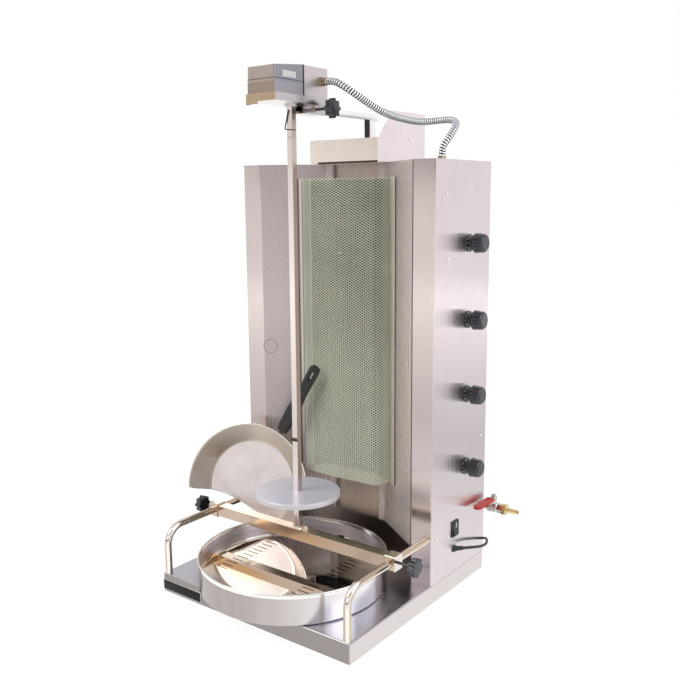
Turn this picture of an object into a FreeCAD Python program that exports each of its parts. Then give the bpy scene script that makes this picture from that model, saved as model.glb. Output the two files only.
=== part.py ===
"""Vertical gas grill for meat on a spit, in millimetres, Z up, front towards -Y, right towards +X.

The origin is the centre of the plinth's underside. A sheet steel plinth carries a tall housing
with four burners, two folded reflectors, a mesh guard, a flue hood, a spit turned by a motor
on an arm, a crossbar on two rails, a drip pan and a scoop.
"""
import FreeCAD, Part
import math
import os

V = FreeCAD.Vector
ORIGIN = V(0, 0, 0)
X_AXIS = V(1, 0, 0)
Y_AXIS = V(0, 1, 0)
Z_AXIS = V(0, 0, 1)

# Sheet metal and fits
sheet = 1.5
bend = 4.0
running_fit = 0.06
seat_gap = 0.1
slide_gap = 0.3

# Plinth
plinth_width = 524.0
plinth_depth = 534.0
plinth_height = 42.0

# Housing: its front, its top and the plan of the front panels
housing_front = 29.0
housing_top = 950.0
column_width = 54.0
wing_depth = 87.0
wing_inner = 82.0
strip_width = 20.0
strip_return = 9.0
wing_bottom = 122.0

# Screws of the right wall and the flue tower
low_screw_inset = 21.5
low_screw_height = 142.0
top_screw_inset = 46.5
top_screw_height = 880.0
upper_screw_inset = 54.0
upper_screw_height = 747.0
rear_screw_inset = 25.0
rear_screw_height = 332.0
tower_screw_behind_post = 24.5
tower_screw_rise = 50.5

# Burners
burner_count = 4
burner_gap = 10.5
first_burner = 276.5
burner_height = 156.0
burner_pitch = burner_height + burner_gap
burner_width = 114.0
burner_depth = 56.0
burner_wall_thickness = 3.0
burner_flange = 12.0
plaque_thickness = 8.0
plaque_groove = 1.2
plaque_grooves = 7
mixer_radius = 12.0
mixer_length = 52.0
window_margin = 3.0

# Mesh guard in front of the burners
guard_width = 224.0
guard_front = 44.0
guard_bow = 4.0
guard_corner = 22.0
guard_bottom = 230.0
guard_top = 918.0
guard_thickness = 2.0
guard_strip = 30.0
guard_window_pitch = 43.0
guard_window_height = 31.0
guard_window_columns = 9
guard_window_width = 14.0

# Flue hood on the top
hood_width = 184.0
hood_front = 70.5
hood_back = 262.0
hood_height = 51.0
tower_front = 77.0
tower_slope_back = 127.0
tower_low = 1004.0
tower_top = 1060.0
tower_flange = 14.0

# Arm that carries the motor
post_width = 15.0
post_depth = 25.0
post_y = 176.5
bridge_bottom = 908.0
bridge_height = 30.0
arm_width = 30.0
arm_height = 13.5
arm_bottom = 1046.5
arm_front = -84.0
arm_wall = 2.0

# Motor unit
tray_left = -39.0
tray_right = 38.0
tray_front = -193.0
tray_back = -27.0
tray_lip = 15.0
case_half = 35.0
case_wall = 3.0
case_split = 36.0
case_low = 14.5
cover_front_height = 66.0
cover_back_height = 75.0
terminal_height = 74.0
unit_joint = -102.5
joint_groove = 1.0
bracket_length = 73.0
bracket_wall = 2.5

# Gear stage
gear_module = 1.0
gear_teeth = 60
pinion_teeth = 18
gear_width = 7.0
tooth_play = 0.18
pressure_angle = math.radians(20.0)

# Spit
spit_y = -102.0
spit_side = 14.0
spit_top = 1071.0
socket_play = 0.15
socket_bottom = 1056.0
pivot_radius = 5.0
clip_wire = 2.4
clip_top = 1050.0
clip_bend = 1012.0
stop_height = 360.0

# Meat disc
disc_radius = 93.4
disc_top = 244.0
disc_sheet = 2.0
disc_rim = 11.0
hub_wall = 3.0
hub_height = 28.0
stop_pin_radius = 2.0

# Crossbar, its clamps and rails
bar_side = 25.0
bar_wall = 1.5
bar_bottom = 133.5
rail_x = 251.0
rail_radius = 8.0
rail_bore = 6.5
rail_height = 146.0
rail_foot_y = -259.0
rail_bend = 40.0
clamp_width = 24.0
clamp_length = 30.0
clamp_height = 32.0

# Star knobs
star_radius = 20.0
star_lobes = 8
star_lobe_radius = 3.8
star_hollow_radius = 4.5
star_thickness = 15.0
star_hub_radius = 9.0
star_hub = 6.0
star_edge = 2.0
screw_radius = 3.0
rail_star_gap = 26.0
arm_star_x = 57.0
arm_star_y = -49.0
arm_star_z = 1055.0

# Drip pan and its drain plate
pan_y = -121.0
pan_rim_radius = 208.0
pan_floor_radius = 206.0
pan_rim_height = 108.5
pan_sheet = 1.2
pan_bead = 1.6
pan_corner = 4.0
plate_top = 84.0
plate_sheet = 1.5
plate_edge_gap = 1.0
ledge_width = 4.0
slot_length = 31.0
slot_width = 3.0
slot_pitch = 16.0
slot_count = 15
slot_inner = 91.5
finger_hole_radius = 12.0

# Scoop: rim centre, the way its open side faces and its tilt in that plane
scoop_centre = V(-200.9, -53.4, 198.0)
scoop_across = V(0.9226, 0.3858, 0.0)
scoop_up = V(-0.096, 0.2297, 0.9685)
scoop_rim_radius = 146.5
scoop_floor_radius = 106.4
scoop_depth = 37.6
scoop_sheet = 1.5
scoop_handle_turn = 60.0
scoop_cut_radius = 260.0
scoop_cut_height = -48.0
scoop_cut_side = 20.0
scoop_rest_gap = 0.5
tang_width = 16.0
tang_sheet = 3.0
tang_length = 22.0
tang_foot = 7.0
handle_tip = V(-45.0, 26.0, 494.5)
handle_root_width = 31.0
handle_tip_width = 26.0
handle_thickness = 15.0
handle_edge = 4.0
handle_slot_length = 25.0
handle_slot_width = 7.0
handle_slot_from_tip = 29.0

# Gas controls on the right wall
tap_y = 173.0
tap_x = 242.0
tap_radius = 11.0
tap_flange = 15.0
tap_outlet = 5.0
stem_radius = 3.0
stem_inner = 236.0
stem_reach = 29.0
knob_radius = 21.5
knob_length = 41.0
knob_back = 4.5
knob_neck = 9.0
knob_neck_radius = 13.0
knob_end_radius = 7.0
bezel_radius = 19.0
bezel_thickness = 3.0
manifold_y = 195.0
manifold_radius = 8.0
manifold_bore = 6.5
injector_radius = 4.0
injector_bore = 1.5

# Supply valve behind the housing
valve_y = 281.0
valve_z = 150.0
valve_start = 268.0
valve_length = 26.0
valve_radius = 12.0
valve_hex = 22.0
valve_hex_length = 10.0
valve_tower = 21.7
valve_stem_x = 281.0
valve_stem_radius = 4.0
lever_z = 172.0
lever_thickness = 5.0
lever_width = 19.0
lever_reach = 90.0
lever_sleeve_back = 14.0
lever_window = 20.0
tail_nut = 11.0
tail_length = 28.0
tail_radius = 5.0
tail_barbs = 4

# Switch and cable
switch_y = 129.0
switch_z = 142.5
switch_width = 30.0
switch_height = 37.0
switch_frame = 2.5
switch_depth = 24.0
rocker_width = 20.0
rocker_height = 27.0
rocker_tilt = 7.0
rocker_pin_radius = 2.0
cable_radius = 3.2
bush_y = 127.0
bush_z = 95.0
bush_flange_radius = 8.0
bush_flange = 2.5
bush_length = 21.0
bush_grip = 10.0
cable_first_run = 21.0
cable_last_run = 28.0
cable_points = [
    V(291, 171, 90.5),
    V(293, 193, 84.5),
    V(291, 218, 79),
    V(285, 240, 74),
    V(276, 262, 70),
    V(262, 284, 66),
    V(242, 297, 57),
    V(217, 302, 40),
    V(193, 303, 21),
]
coil_centre = V(140, 345, 0)
coil_middle_radius = 35.0
coil_step = 7.0
coil_turns_in = 3
coil_turns_out = 2.5
plug_radius = 18.0
plug_length = 38.0
plug_relief = 22.0
plug_pin_radius = 2.4
plug_pin_length = 19.0
plug_pin_spacing = 19.0
plug_lead = 48.0

# Ribbed conduit from the motor unit to the housing top
conduit_radius = 7.5
conduit_root_radius = 6.5
conduit_bore = 5.5
conduit_rib_pitch = 3.0
gland_radius = 10.0
gland_length = 15.0
motor_gland_y = -47.0
motor_gland_rise = 46.7
housing_gland_x = 235.0
housing_gland_y = 99.5
conduit_points = [
    V(87, -47, 1097),
    V(102, -39.5, 1086.5),
    V(111, -27, 1076.5),
    V(116, -11.5, 1068.5),
    V(124, 5.5, 1058.5),
    V(131.5, 24, 1049.5),
    V(138.5, 43.5, 1043),
    V(145, 64, 1038.5),
    V(150.5, 85.5, 1035.5),
    V(157, 104, 1033),
    V(164, 121.5, 1032),
    V(170, 138, 1032.5),
    V(180, 153, 1034),
    V(195, 163, 1035.5),
    V(213, 166.5, 1036),
    V(230, 160, 1032.5),
    V(241, 147, 1025),
    V(246.5, 132, 1015),
    V(246.5, 118, 1003),
    V(242.5, 107.5, 990),
]

# Screws
screw_head_radius = 3.5
screw_head = 1.8

# Places worked out from the sizes above
half_width = plinth_width / 2
half_depth = plinth_depth / 2
column_x = half_width - column_width
strip_y = housing_front + wing_depth
bulkhead_y = strip_y + strip_return
cover_top = housing_top - sheet
back_inside = half_depth - sheet
wall_inside = half_width - sheet
bar_top = bar_bottom + bar_side
arm_top = arm_bottom + arm_height
tray_bottom = arm_top + slide_gap
motor_gland_z = tray_bottom + motor_gland_rise
case_bottom = tray_bottom + sheet
case_top = case_bottom + case_split - sheet
gear_radius = gear_module * gear_teeth / 2
pinion_radius = gear_module * pinion_teeth / 2
motor_y = spit_y - gear_radius - pinion_radius
gear_z = case_bottom + case_wall + 0.5
wall_screws = [(housing_front + low_screw_inset, low_screw_height), (housing_front + top_screw_inset, top_screw_height),
               (housing_front + upper_screw_inset, upper_screw_height), (half_depth - rear_screw_inset, rear_screw_height)]
burner_z = [first_burner + 50.0 + i * burner_pitch for i in range(burner_count)]
knob_z = [first_burner + i * burner_pitch for i in range(burner_count)]
window_bottom = burner_z[0] - burner_height / 2 - window_margin
window_top = burner_z[-1] + burner_height / 2 + window_margin
post_top = arm_bottom
pan_floor = plinth_height + seat_gap


def block(x0, x1, y0, y1, z0, z1):
    """Box between two corners."""
    return Part.makeBox(x1 - x0, y1 - y0, z1 - z0, V(x0, y0, z0))


def rod(base, axis, radius, length):
    """Round bar from a point along an axis."""
    return Part.makeCylinder(radius, length, base, axis)


def ring(base, axis, outer, inner, length):
    """Round tube from a point along an axis."""
    return rod(base, axis, outer, length).cut(rod(base, axis, inner, length))


def joined(shapes):
    """One solid from touching or overlapping solids."""
    return shapes[0].multiFuse(shapes[1:]).removeSplitter()


def gathered(shapes):
    """Several separate solids kept side by side."""
    return Part.makeCompound(shapes)


def mirrored(shape):
    """The same piece on the other side of the middle plane."""
    return shape.mirror(ORIGIN, X_AXIS)


def prism(corners, z0, z1):
    """Upright prism over an outline of (x, y) corners."""
    points = [V(x, y, z0) for x, y in corners]
    face = Part.Face(Part.makePolygon(points + points[:1]))
    return face.extrude(V(0, 0, z1 - z0))


def hexagon(base, axis, across_flats, length):
    """Hexagonal bar from a point along X or Z."""
    reach = across_flats / math.sqrt(3)
    corners = [V(0, reach * math.cos(math.radians(60 * i)), reach * math.sin(math.radians(60 * i)))
               for i in range(6)]
    if axis.z:
        corners = [V(c.y, c.z, 0) for c in corners]
    corners = [base + c for c in corners]
    return Part.Face(Part.makePolygon(corners + corners[:1])).extrude(axis * length)


def lathe(profile, base, axis):
    """Solid turned about an axis: profile points are (radius, height), arcs are (middle, end) pairs."""
    side = X_AXIS if axis.x == 0 else Z_AXIS

    def place(point):
        return base + side * point[0] + axis * point[1]

    edges = []
    last = profile[0]
    for item in profile[1:] + profile[:1]:
        if isinstance(item[0], tuple):
            edges.append(Part.Arc(place(last), place(item[0]), place(item[1])).toShape())
            last = item[1]
        else:
            edges.append(Part.LineSegment(place(last), place(item)).toShape())
            last = item
    return Part.Face(Part.Wire(edges)).revolve(base, axis, 360)


def upright_edges(shape, corners):
    """Upright edges of a shape that stand over the given (x, y) corners."""
    found = []
    for edge in shape.Edges:
        a = edge.Vertexes[0].Point
        b = edge.Vertexes[-1].Point
        if abs(a.x - b.x) < 1e-6 and abs(a.y - b.y) < 1e-6:
            if any(math.hypot(a.x - x, a.y - y) < 1e-3 for x, y in corners):
                found.append(edge)
    return found


def offset_line(points, distance):
    """A polyline of (x, y) points moved sideways, to the left of its direction."""
    normals = []
    for (x0, y0), (x1, y1) in zip(points, points[1:]):
        run = math.hypot(x1 - x0, y1 - y0)
        normals.append(((y0 - y1) / run, (x1 - x0) / run))
    moved = []
    for i, (x, y) in enumerate(points):
        a = normals[max(i - 1, 0)]
        b = normals[min(i, len(normals) - 1)]
        share = distance / (1 + a[0] * b[0] + a[1] * b[1])
        moved.append((x + share * (a[0] + b[0]), y + share * (a[1] + b[1])))
    return moved


def folded(points, thickness, z0, z1, radius):
    """Upright folded sheet: its visible face follows the points, its thickness lies to their left."""
    inner = offset_line(points, thickness)
    solid = prism(points + inner[::-1], z0, z1)
    tight = max(radius - abs(thickness), 0.2)
    for i in range(1, len(points) - 1):
        (x0, y0), (x1, y1), (x2, y2) = points[i - 1:i + 2]
        left_turn = (x1 - x0) * (y2 - y1) - (y1 - y0) * (x2 - x1) > 0
        outside = left_turn == (thickness > 0)
        for corner, size in ((points[i], radius if outside else tight),
                             (inner[i], tight if outside else radius)):
            solid = solid.makeFillet(size, upright_edges(solid, [corner]))
    return solid


def rounded_route(points, radius=None):
    """Straight runs joined by tangent arcs; returns edges, each arc's radius and the length."""
    edges = []
    radii = []
    start = points[0]
    for i in range(1, len(points) - 1):
        before = points[i] - points[i - 1]
        after = points[i + 1] - points[i]
        half_turn = before.getAngle(after) / 2
        bow = radius or 0.45 * min(before.Length, after.Length) / math.tan(half_turn)
        trim = bow * math.tan(half_turn)
        inward = V(before).normalize()
        outward = V(after).normalize()
        first = points[i] - inward * trim
        last = points[i] + outward * trim
        to_centre = (outward - inward).normalize()
        middle = points[i] + to_centre * (bow / math.cos(half_turn) - bow)
        edges.append(Part.LineSegment(start, first).toShape())
        edges.append(Part.Arc(first, middle, last).toShape())
        radii.append(bow)
        start = last
    edges.append(Part.LineSegment(start, points[-1]).toShape())
    return edges, radii, sum(edge.Length for edge in edges)


def swept_tube(edges, radius, bore=0.0):
    """Round tube along a chain of edges, with a bore where one is given."""
    path = Part.Wire(edges)
    start = edges[0].Vertexes[0].Point
    heading = edges[0].tangentAt(edges[0].FirstParameter)
    solids = []
    for size in [radius] + ([bore] if bore else []):
        profile = Part.Wire(Part.makeCircle(size, start, heading))
        solids.append(path.makePipeShell([profile], True, False))
    return solids[0].cut(solids[1]) if bore else solids[0]


def biarc(start, start_way, end, end_way):
    """Two arcs from one point and heading to another, meeting with one heading."""
    chord = end - start
    ways = start_way + end_way
    lean = 2 * (1 - start_way.dot(end_way))
    reach = chord.dot(ways)
    arm = (-reach + math.sqrt(reach ** 2 + lean * chord.dot(chord))) / lean
    first_corner = start + start_way * arm
    second_corner = end - end_way * arm
    meeting = (first_corner + second_corner) * 0.5
    arcs = []
    for a, corner, b in ((start, first_corner, meeting), (meeting, second_corner, end)):
        middle = (a + b) * 0.5
        height = (corner - middle).Length
        reach_to_centre = arm ** 2 / height
        radius = math.sqrt(reach_to_centre ** 2 - arm ** 2)
        centre = corner + (middle - corner) * (reach_to_centre / height)
        crown = centre + (corner - centre) * (radius / reach_to_centre)
        arcs.append(Part.Arc(a, crown, b).toShape())
    return arcs


def base_tray():
    """Plinth: a folded tray standing upside down, open below."""
    outer = block(-half_width, half_width, -half_depth, half_depth, 0, plinth_height)
    round_edges = [e for e in outer.Edges if max(v.Z for v in e.Vertexes) > plinth_height / 2]
    outer = outer.makeFillet(bend, round_edges)
    inner = block(-wall_inside, wall_inside, -back_inside, back_inside, -1, plinth_height - sheet)
    corners = [(sx * wall_inside, sy * back_inside) for sx in (-1, 1) for sy in (-1, 1)]
    inner = inner.makeFillet(bend - sheet, upright_edges(inner, corners))
    return outer.cut(inner)


def base_plate():
    """Flat sheet that closes the plinth from below."""
    x = wall_inside - seat_gap
    y = back_inside - seat_gap
    plate = block(-x, x, -y, y, 0, sheet)
    corners = [(sx * x, sy * y) for sx in (-1, 1) for sy in (-1, 1)]
    return plate.makeFillet(bend - sheet, upright_edges(plate, corners))


def side_cover(right):
    """Column: inner wall, front strip and outer wall in one folded sheet."""
    path = [(column_x, bulkhead_y), (column_x, housing_front), (half_width, housing_front),
            (half_width, back_inside)]
    cover = folded(path, sheet, plinth_height, cover_top, bend)
    if not right:
        return mirrored(cover)
    holes = [rod(V(wall_inside - 1, tap_y, z), X_AXIS, stem_radius + 2.0, sheet + 2) for z in knob_z]
    holes.append(rod(V(wall_inside - 1, bush_y, bush_z), X_AXIS, bush_flange_radius - 2.0, sheet + 2))
    y = switch_width / 2 - 1.5
    z = switch_height / 2 - 1.5
    holes.append(block(wall_inside - 1, half_width + 1, switch_y - y, switch_y + y, switch_z - z, switch_z + z))
    return cover.cut(holes)


def reflector():
    """Right wing: slanted sheet with a flat strip beside the burners and a return to the bulkhead."""
    path = [(column_x, housing_front), (wing_inner, strip_y), (wing_inner - strip_width, strip_y),
            (wing_inner - strip_width, bulkhead_y)]
    wing = folded(path, -sheet, wing_bottom, cover_top, bend)
    beyond = block(column_x, half_width, housing_front - 5, half_depth, wing_bottom - 1, cover_top + 1)
    return wing.cut(beyond)


def burner_wall():
    """Bulkhead behind the reflectors, with one tall window for the burners."""
    x = wall_inside - seat_gap
    wall = block(-x, x, bulkhead_y, bulkhead_y + sheet, plinth_height, cover_top)
    half = burner_width / 2 + window_margin
    window = block(-half, half, bulkhead_y - 1, bulkhead_y + sheet + 1, window_bottom, window_top)
    inlet = block(half_width - switch_depth - 6, half_width, bulkhead_y - 1, bulkhead_y + sheet + 1, plinth_height - 1,
                  switch_z + switch_height / 2 + 6)
    return wall.cut([window, inlet])


def back_cover():
    """Rear sheet with rows of vent slots and the hole for the supply pipe."""
    cover = block(-half_width, half_width, back_inside, half_depth, plinth_height, cover_top)
    vent_width = 46.0
    vent_height = 5.0
    vent_pitch = 16.0
    slots = []
    for column in (-150, -80, 80, 150):
        for row in range(10):
            z = cover_top - 70 - row * vent_pitch
            slots.append(block(column - vent_width / 2, column + vent_width / 2, back_inside - 1, half_depth + 1,
                               z, z + vent_height))
    slots.append(rod(V(tap_x, back_inside - 1, valve_z), Y_AXIS, manifold_radius + 0.8, sheet + 2))
    return cover.cut(slots)


def top_cover():
    """Top sheet that follows the plan of the front panels, open under the hood."""
    half = [(0, strip_y), (wing_inner, strip_y), (column_x, housing_front), (half_width, housing_front),
            (half_width, half_depth)]
    outline = [(-x, y) for x, y in half[::-1]] + half[1:]
    top = prism(outline, cover_top, housing_top)
    x = hood_width / 2 - 12
    flue = block(-x, x, bulkhead_y + 8, hood_back - 8, cover_top - 1, housing_top + 1)
    gland = rod(V(housing_gland_x, housing_gland_y, cover_top - 1), Z_AXIS, gland_radius - 2.5, sheet + 2)
    return top.cut([flue, gland])


def flue_hood():
    """Hood over the flue: front, left side and top, with a tall plate as its right side."""
    x = hood_width / 2
    top = housing_top + hood_height
    front = block(-x, x, hood_front, hood_front + sheet, housing_top, top)
    left = block(-x, -x + sheet, hood_front, hood_back, housing_top, top)
    roof = block(-x, x, hood_front, hood_back, top - sheet, top)
    floor_strip = block(-x, x, strip_y - 2, strip_y + sheet + 8, housing_top, housing_top + sheet)
    side = [V(x, tower_front, housing_top), V(x, hood_back, housing_top), V(x, hood_back, tower_top),
            V(x, tower_slope_back, tower_top), V(x, tower_front, tower_low)]
    tower = Part.Face(Part.makePolygon(side + side[:1])).extrude(V(sheet, 0, 0))
    corner = block(x, x + sheet, hood_front, tower_front + 1, housing_top, top)
    flange = block(x - tower_flange, x + sheet, tower_slope_back, hood_back, tower_top - sheet, tower_top)
    hood = joined([front, left, roof, floor_strip, tower, corner, flange])
    passage = block(-post_width / 2 - 1, post_width / 2 + 1, post_y - post_depth / 2 - 1,
                    post_y + post_depth / 2 + 1, housing_top, top + 1)
    return hood.cut(passage)


def burner_body(z):
    """Cast burner box, open in front, with the mixing tube on its right."""
    x = burner_width / 2
    y0 = bulkhead_y + sheet
    y1 = y0 + burner_depth
    t = burner_wall_thickness
    z0 = z - burner_height / 2
    z1 = z + burner_height / 2
    box = block(-x, x, y0, y1, z0, z1)
    flange = block(-x - burner_flange, x + burner_flange, y0, y0 + 2.0, z0, z1)
    cavity = block(-x + t, x - t, y0 - 1, y1 - t, z0 + t, z1 - t)
    tube = rod(V(x - t, tap_y, z - 50.0), X_AXIS, mixer_radius, mixer_length + t)
    bore = rod(V(x - t - 1, tap_y, z - 50.0), X_AXIS, mixer_radius - 2.5, mixer_length + t + 2)
    return joined([box, flange]).cut(cavity).fuse(tube).cut(bore).removeSplitter()


def burner_plaque(z):
    """Ceramic plate in the mouth of a burner, with shallow grooves across its face."""
    x = burner_width / 2 - burner_wall_thickness - seat_gap
    half = burner_height / 2 - burner_wall_thickness - seat_gap
    y0 = bulkhead_y + sheet + 1.0
    plaque = block(-x, x, y0, y0 + plaque_thickness, z - half, z + half)
    pitch = 2 * half / (plaque_grooves + 1)
    grooves = [block(-x - 1, x + 1, y0 - 1, y0 + plaque_groove, z - half + pitch * i - 1, z - half + pitch * i + 1)
               for i in range(1, plaque_grooves + 1)]
    return plaque.cut(grooves)


def wing_front(x):
    """Depth of the right reflector's face at a distance x from the middle."""
    return housing_front + wing_depth * (column_x - x) / (column_x - wing_inner)


def mesh_guard():
    """Bowed guard with rows of openings, and at each side its corner and the strip that lies on a reflector."""
    x = guard_width / 2
    slant = math.hypot(column_x - wing_inner, wing_depth)
    along = ((column_x - wing_inner) / slant, -wing_depth / slant)
    lift = guard_thickness / along[0]
    foot = (x + 1.0, wing_front(x + 1.0) - lift)
    strip_end = (foot[0] + guard_strip * along[0], foot[1] + guard_strip * along[1])
    half = [(x, guard_front + guard_bow), foot, strip_end]
    path = [(-a, b) for a, b in half[::-1]] + [(0, guard_front)] + half
    inner = offset_line(path, guard_thickness)
    solid = prism(path + inner[::-1], guard_bottom, guard_top)
    for corner, size in ((half[0], guard_corner), (inner[4], guard_corner - guard_thickness)):
        for side in (-1, 1):
            solid = solid.makeFillet(size, upright_edges(solid, [(side * corner[0], corner[1])]))
    rows = int((guard_top - guard_bottom - guard_window_pitch / 2) // guard_window_pitch)
    column_pitch = 2 * (x - guard_corner - 4) / guard_window_columns
    first = guard_bottom + (guard_top - guard_bottom - (rows - 1) * guard_window_pitch) / 2
    windows = []
    for row in range(rows):
        for column in range(guard_window_columns):
            across = (column - (guard_window_columns - 1) / 2) * column_pitch
            z = first + row * guard_window_pitch
            windows.append(block(across - guard_window_width / 2, across + guard_window_width / 2,
                                 guard_front - 2, guard_front + guard_bow + guard_thickness + 3,
                                 z - guard_window_height / 2, z + guard_window_height / 2))
    solid = solid.cut(windows)
    fold = x - guard_corner
    spans = [(-2 * x, -fold), (-fold, fold), (fold, 2 * x)]
    return gathered([solid.common(block(a, b, 0, 2 * column_x, guard_bottom - 1, guard_top + 1)).Solids[0]
                     for a, b in spans])


def arm_post():
    """Post through the hood, welded on a bridge across the housing."""
    x = wall_inside - seat_gap
    y0 = post_y - bridge_height / 2
    y1 = post_y + bridge_height / 2
    bridge = block(-x, x, y0, y1, bridge_bottom, bridge_bottom + bridge_height)
    hollow = block(-x - 1, x + 1, y0 + 2, y1 - 2, bridge_bottom + 2, bridge_bottom + bridge_height - 2)
    post = block(-post_width / 2, post_width / 2, post_y - post_depth / 2, post_y + post_depth / 2,
                 bridge_bottom + bridge_height - 1, post_top)
    return joined([bridge.cut(hollow), post])


def arm_tube():
    """Flat tube on the post, open at both ends, on which the motor unit slides."""
    x = arm_width / 2
    back = post_y + post_depth / 2
    outer = block(-x, x, arm_front, back, arm_bottom, arm_top)
    long_edges = [e for e in outer.Edges if abs(e.tangentAt(e.FirstParameter).y) > 0.9]
    outer = outer.makeFillet(arm_wall, long_edges)
    inner = block(-x + arm_wall, x - arm_wall, arm_front - 1, back + 1, arm_bottom + arm_wall, arm_top - arm_wall)
    return outer.cut(inner)


def motor_tray():
    """Folded tray under the motor unit, with the bracket that runs on the arm."""
    top = tray_bottom + tray_lip
    outer = block(tray_left, tray_right, tray_front, tray_back, tray_bottom, top)
    inner = block(tray_left + sheet, tray_right - sheet, tray_front + sheet, tray_back + 1, case_bottom, top + 1)
    tray = outer.cut(inner)
    hole = rod(V(0, spit_y, tray_bottom - 1), Z_AXIS, gear_hub_radius() + 1.0, sheet + 2)
    front_tab = block(tray_left, tray_left + 30, tray_front, tray_front + sheet, tray_bottom - 6, tray_bottom + 1)
    tab_foot = block(tray_left + 18, tray_left + 30, tray_front - 8, tray_front + sheet, tray_bottom - 6,
                     tray_bottom - 6 + sheet)
    x0 = arm_width / 2 + slide_gap
    x1 = x0 + bracket_wall
    y0 = arm_front
    y1 = y0 + bracket_length
    low = arm_bottom - slide_gap
    sleeve = block(-x1, x1, y0, y1, low - bracket_wall, tray_bottom)
    passage = block(-x0, x0, y0 - 1, y1 + 1, low, tray_bottom + 0.5)
    under = block(-x1, x1, y0, y1, tray_bottom - 0.01, tray_bottom + sheet)
    nut = hexagon(V(x1 - 0.5, arm_star_y, arm_screw_z()), X_AXIS, 11.0, 7.0)
    bore = rod(V(x0 - 1, arm_star_y, arm_screw_z()), X_AXIS, screw_radius + running_fit, 16.0)
    body = joined([tray.cut(hole), front_tab, tab_foot, sleeve.cut(passage), under, nut])
    return body.cut(bore)


def arm_screw_z():
    """Height of the clamp screw, at the middle of the arm's side."""
    return arm_bottom + arm_height / 2


def gear_hub_radius():
    """Outside of the socket that takes the square of the spit."""
    return spit_side / math.sqrt(2) + 3.0


def gearbox_case():
    """Lower half of the motor unit: a low part that reaches back over the output gear."""
    w = case_wall
    low_top = case_bottom + case_low
    low = block(-case_half, case_half, tray_front + sheet, spit_y + gear_radius + gear_module + 2 * w,
                case_bottom, low_top)
    high = block(-case_half, case_half, tray_front + sheet, unit_joint, case_bottom, case_top)
    low_hollow = block(-case_half + w, case_half - w, tray_front + sheet + w,
                       spit_y + gear_radius + gear_module + w, case_bottom + w, low_top - w)
    high_hollow = block(-case_half + w, case_half - w, tray_front + sheet + w, unit_joint - w,
                        case_bottom + w, case_top - w)
    case = joined([low, high]).cut([low_hollow, high_hollow])
    output = rod(V(0, spit_y, case_bottom - 1), Z_AXIS, gear_hub_radius() + running_fit, w + 2)
    shaft = rod(V(0, motor_y, case_top - w - 1), Z_AXIS, screw_radius + running_fit, w + 2)
    foot = rod(V(0, motor_y, case_bottom + 1), Z_AXIS, screw_radius + running_fit, w)
    return case.cut([output, shaft, foot])


def motor_cover():
    """Upper half of the motor unit, higher at the back, open below."""
    w = 2.5
    y0 = tray_front + sheet
    front_top = tray_bottom + cover_front_height
    back_top = tray_bottom + cover_back_height
    side = [(y0, case_top), (unit_joint, case_top), (unit_joint, back_top), (y0, front_top)]
    inner = [(y0 + w, case_top - 1), (unit_joint - w, case_top - 1), (unit_joint - w, back_top - w),
             (y0 + w, front_top - w)]
    solids = []
    for half, outline in ((case_half, side), (case_half - w, inner)):
        points = [V(-half, y, z) for y, z in outline]
        solids.append(Part.Face(Part.makePolygon(points + points[:1])).extrude(V(2 * half, 0, 0)))
    outer = solids[0]
    corners = [(sx * case_half, y0) for sx in (-1, 1)]
    outer = outer.makeFillet(3.0, upright_edges(outer, corners))
    return outer.cut(solids[1])


def terminal_box():
    """Box behind the motor, where the conduit enters."""
    w = 2.0
    y0 = unit_joint + joint_groove
    z0 = case_bottom + case_low + seat_gap
    z1 = tray_bottom + terminal_height
    outer = block(-case_half, case_half, y0, tray_back, z0, z1)
    low_y = spit_y + gear_radius + gear_module + 2 * case_wall + seat_gap
    skirt = block(-case_half, case_half, low_y, tray_back, case_bottom, z0 + 1)
    inner = block(-case_half + w, case_half - w, y0 + w, tray_back - w, z0 + w, z1 - w)
    entry = rod(V(case_half - w - 1, motor_gland_y, motor_gland_z), X_AXIS, gland_radius - 3.5, w + 2)
    return joined([outer, skirt]).cut([inner, entry])


def motor_stator():
    """Wound core of the motor, standing on the gearbox."""
    half = 28.0
    z0 = case_top
    core = block(-half, half, motor_y - half, motor_y + half, z0 + 5, z0 + 21)
    legs = [rod(V(sx * 22, motor_y + sy * 22, z0), Z_AXIS, 3.0, 5.5) for sx in (-1, 1) for sy in (-1, 1)]
    bore = rod(V(0, motor_y, z0), Z_AXIS, 12.5, 30)
    return joined([core] + legs).cut(bore)


def gear_outline(teeth, phase):
    """Corners of an involute gear, counted from one tooth at the phase angle."""
    pitch_radius = gear_module * teeth / 2
    base_radius = pitch_radius * math.cos(pressure_angle)
    tip = pitch_radius + 0.9 * gear_module
    root = pitch_radius - 1.25 * gear_module
    flank_start = max(base_radius, root + 0.1 * gear_module)
    base_angle = math.tan(pressure_angle) - pressure_angle
    half_pitch = math.pi / (2 * teeth) - tooth_play / (2 * pitch_radius)
    steps = 4
    flank = []
    for i in range(steps + 1):
        radius = flank_start + (tip - flank_start) * i / steps
        slope = math.acos(min(1.0, base_radius / radius))
        flank.append((radius, half_pitch + base_angle - (math.tan(slope) - slope)))
    corners = []
    for tooth in range(teeth):
        middle = phase + 2 * math.pi * tooth / teeth
        side = [(root, flank[0][1])] + flank
        for radius, angle in side:
            corners.append((radius * math.cos(middle - angle), radius * math.sin(middle - angle)))
        for radius, angle in side[::-1]:
            corners.append((radius * math.cos(middle + angle), radius * math.sin(middle + angle)))
    return corners


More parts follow.
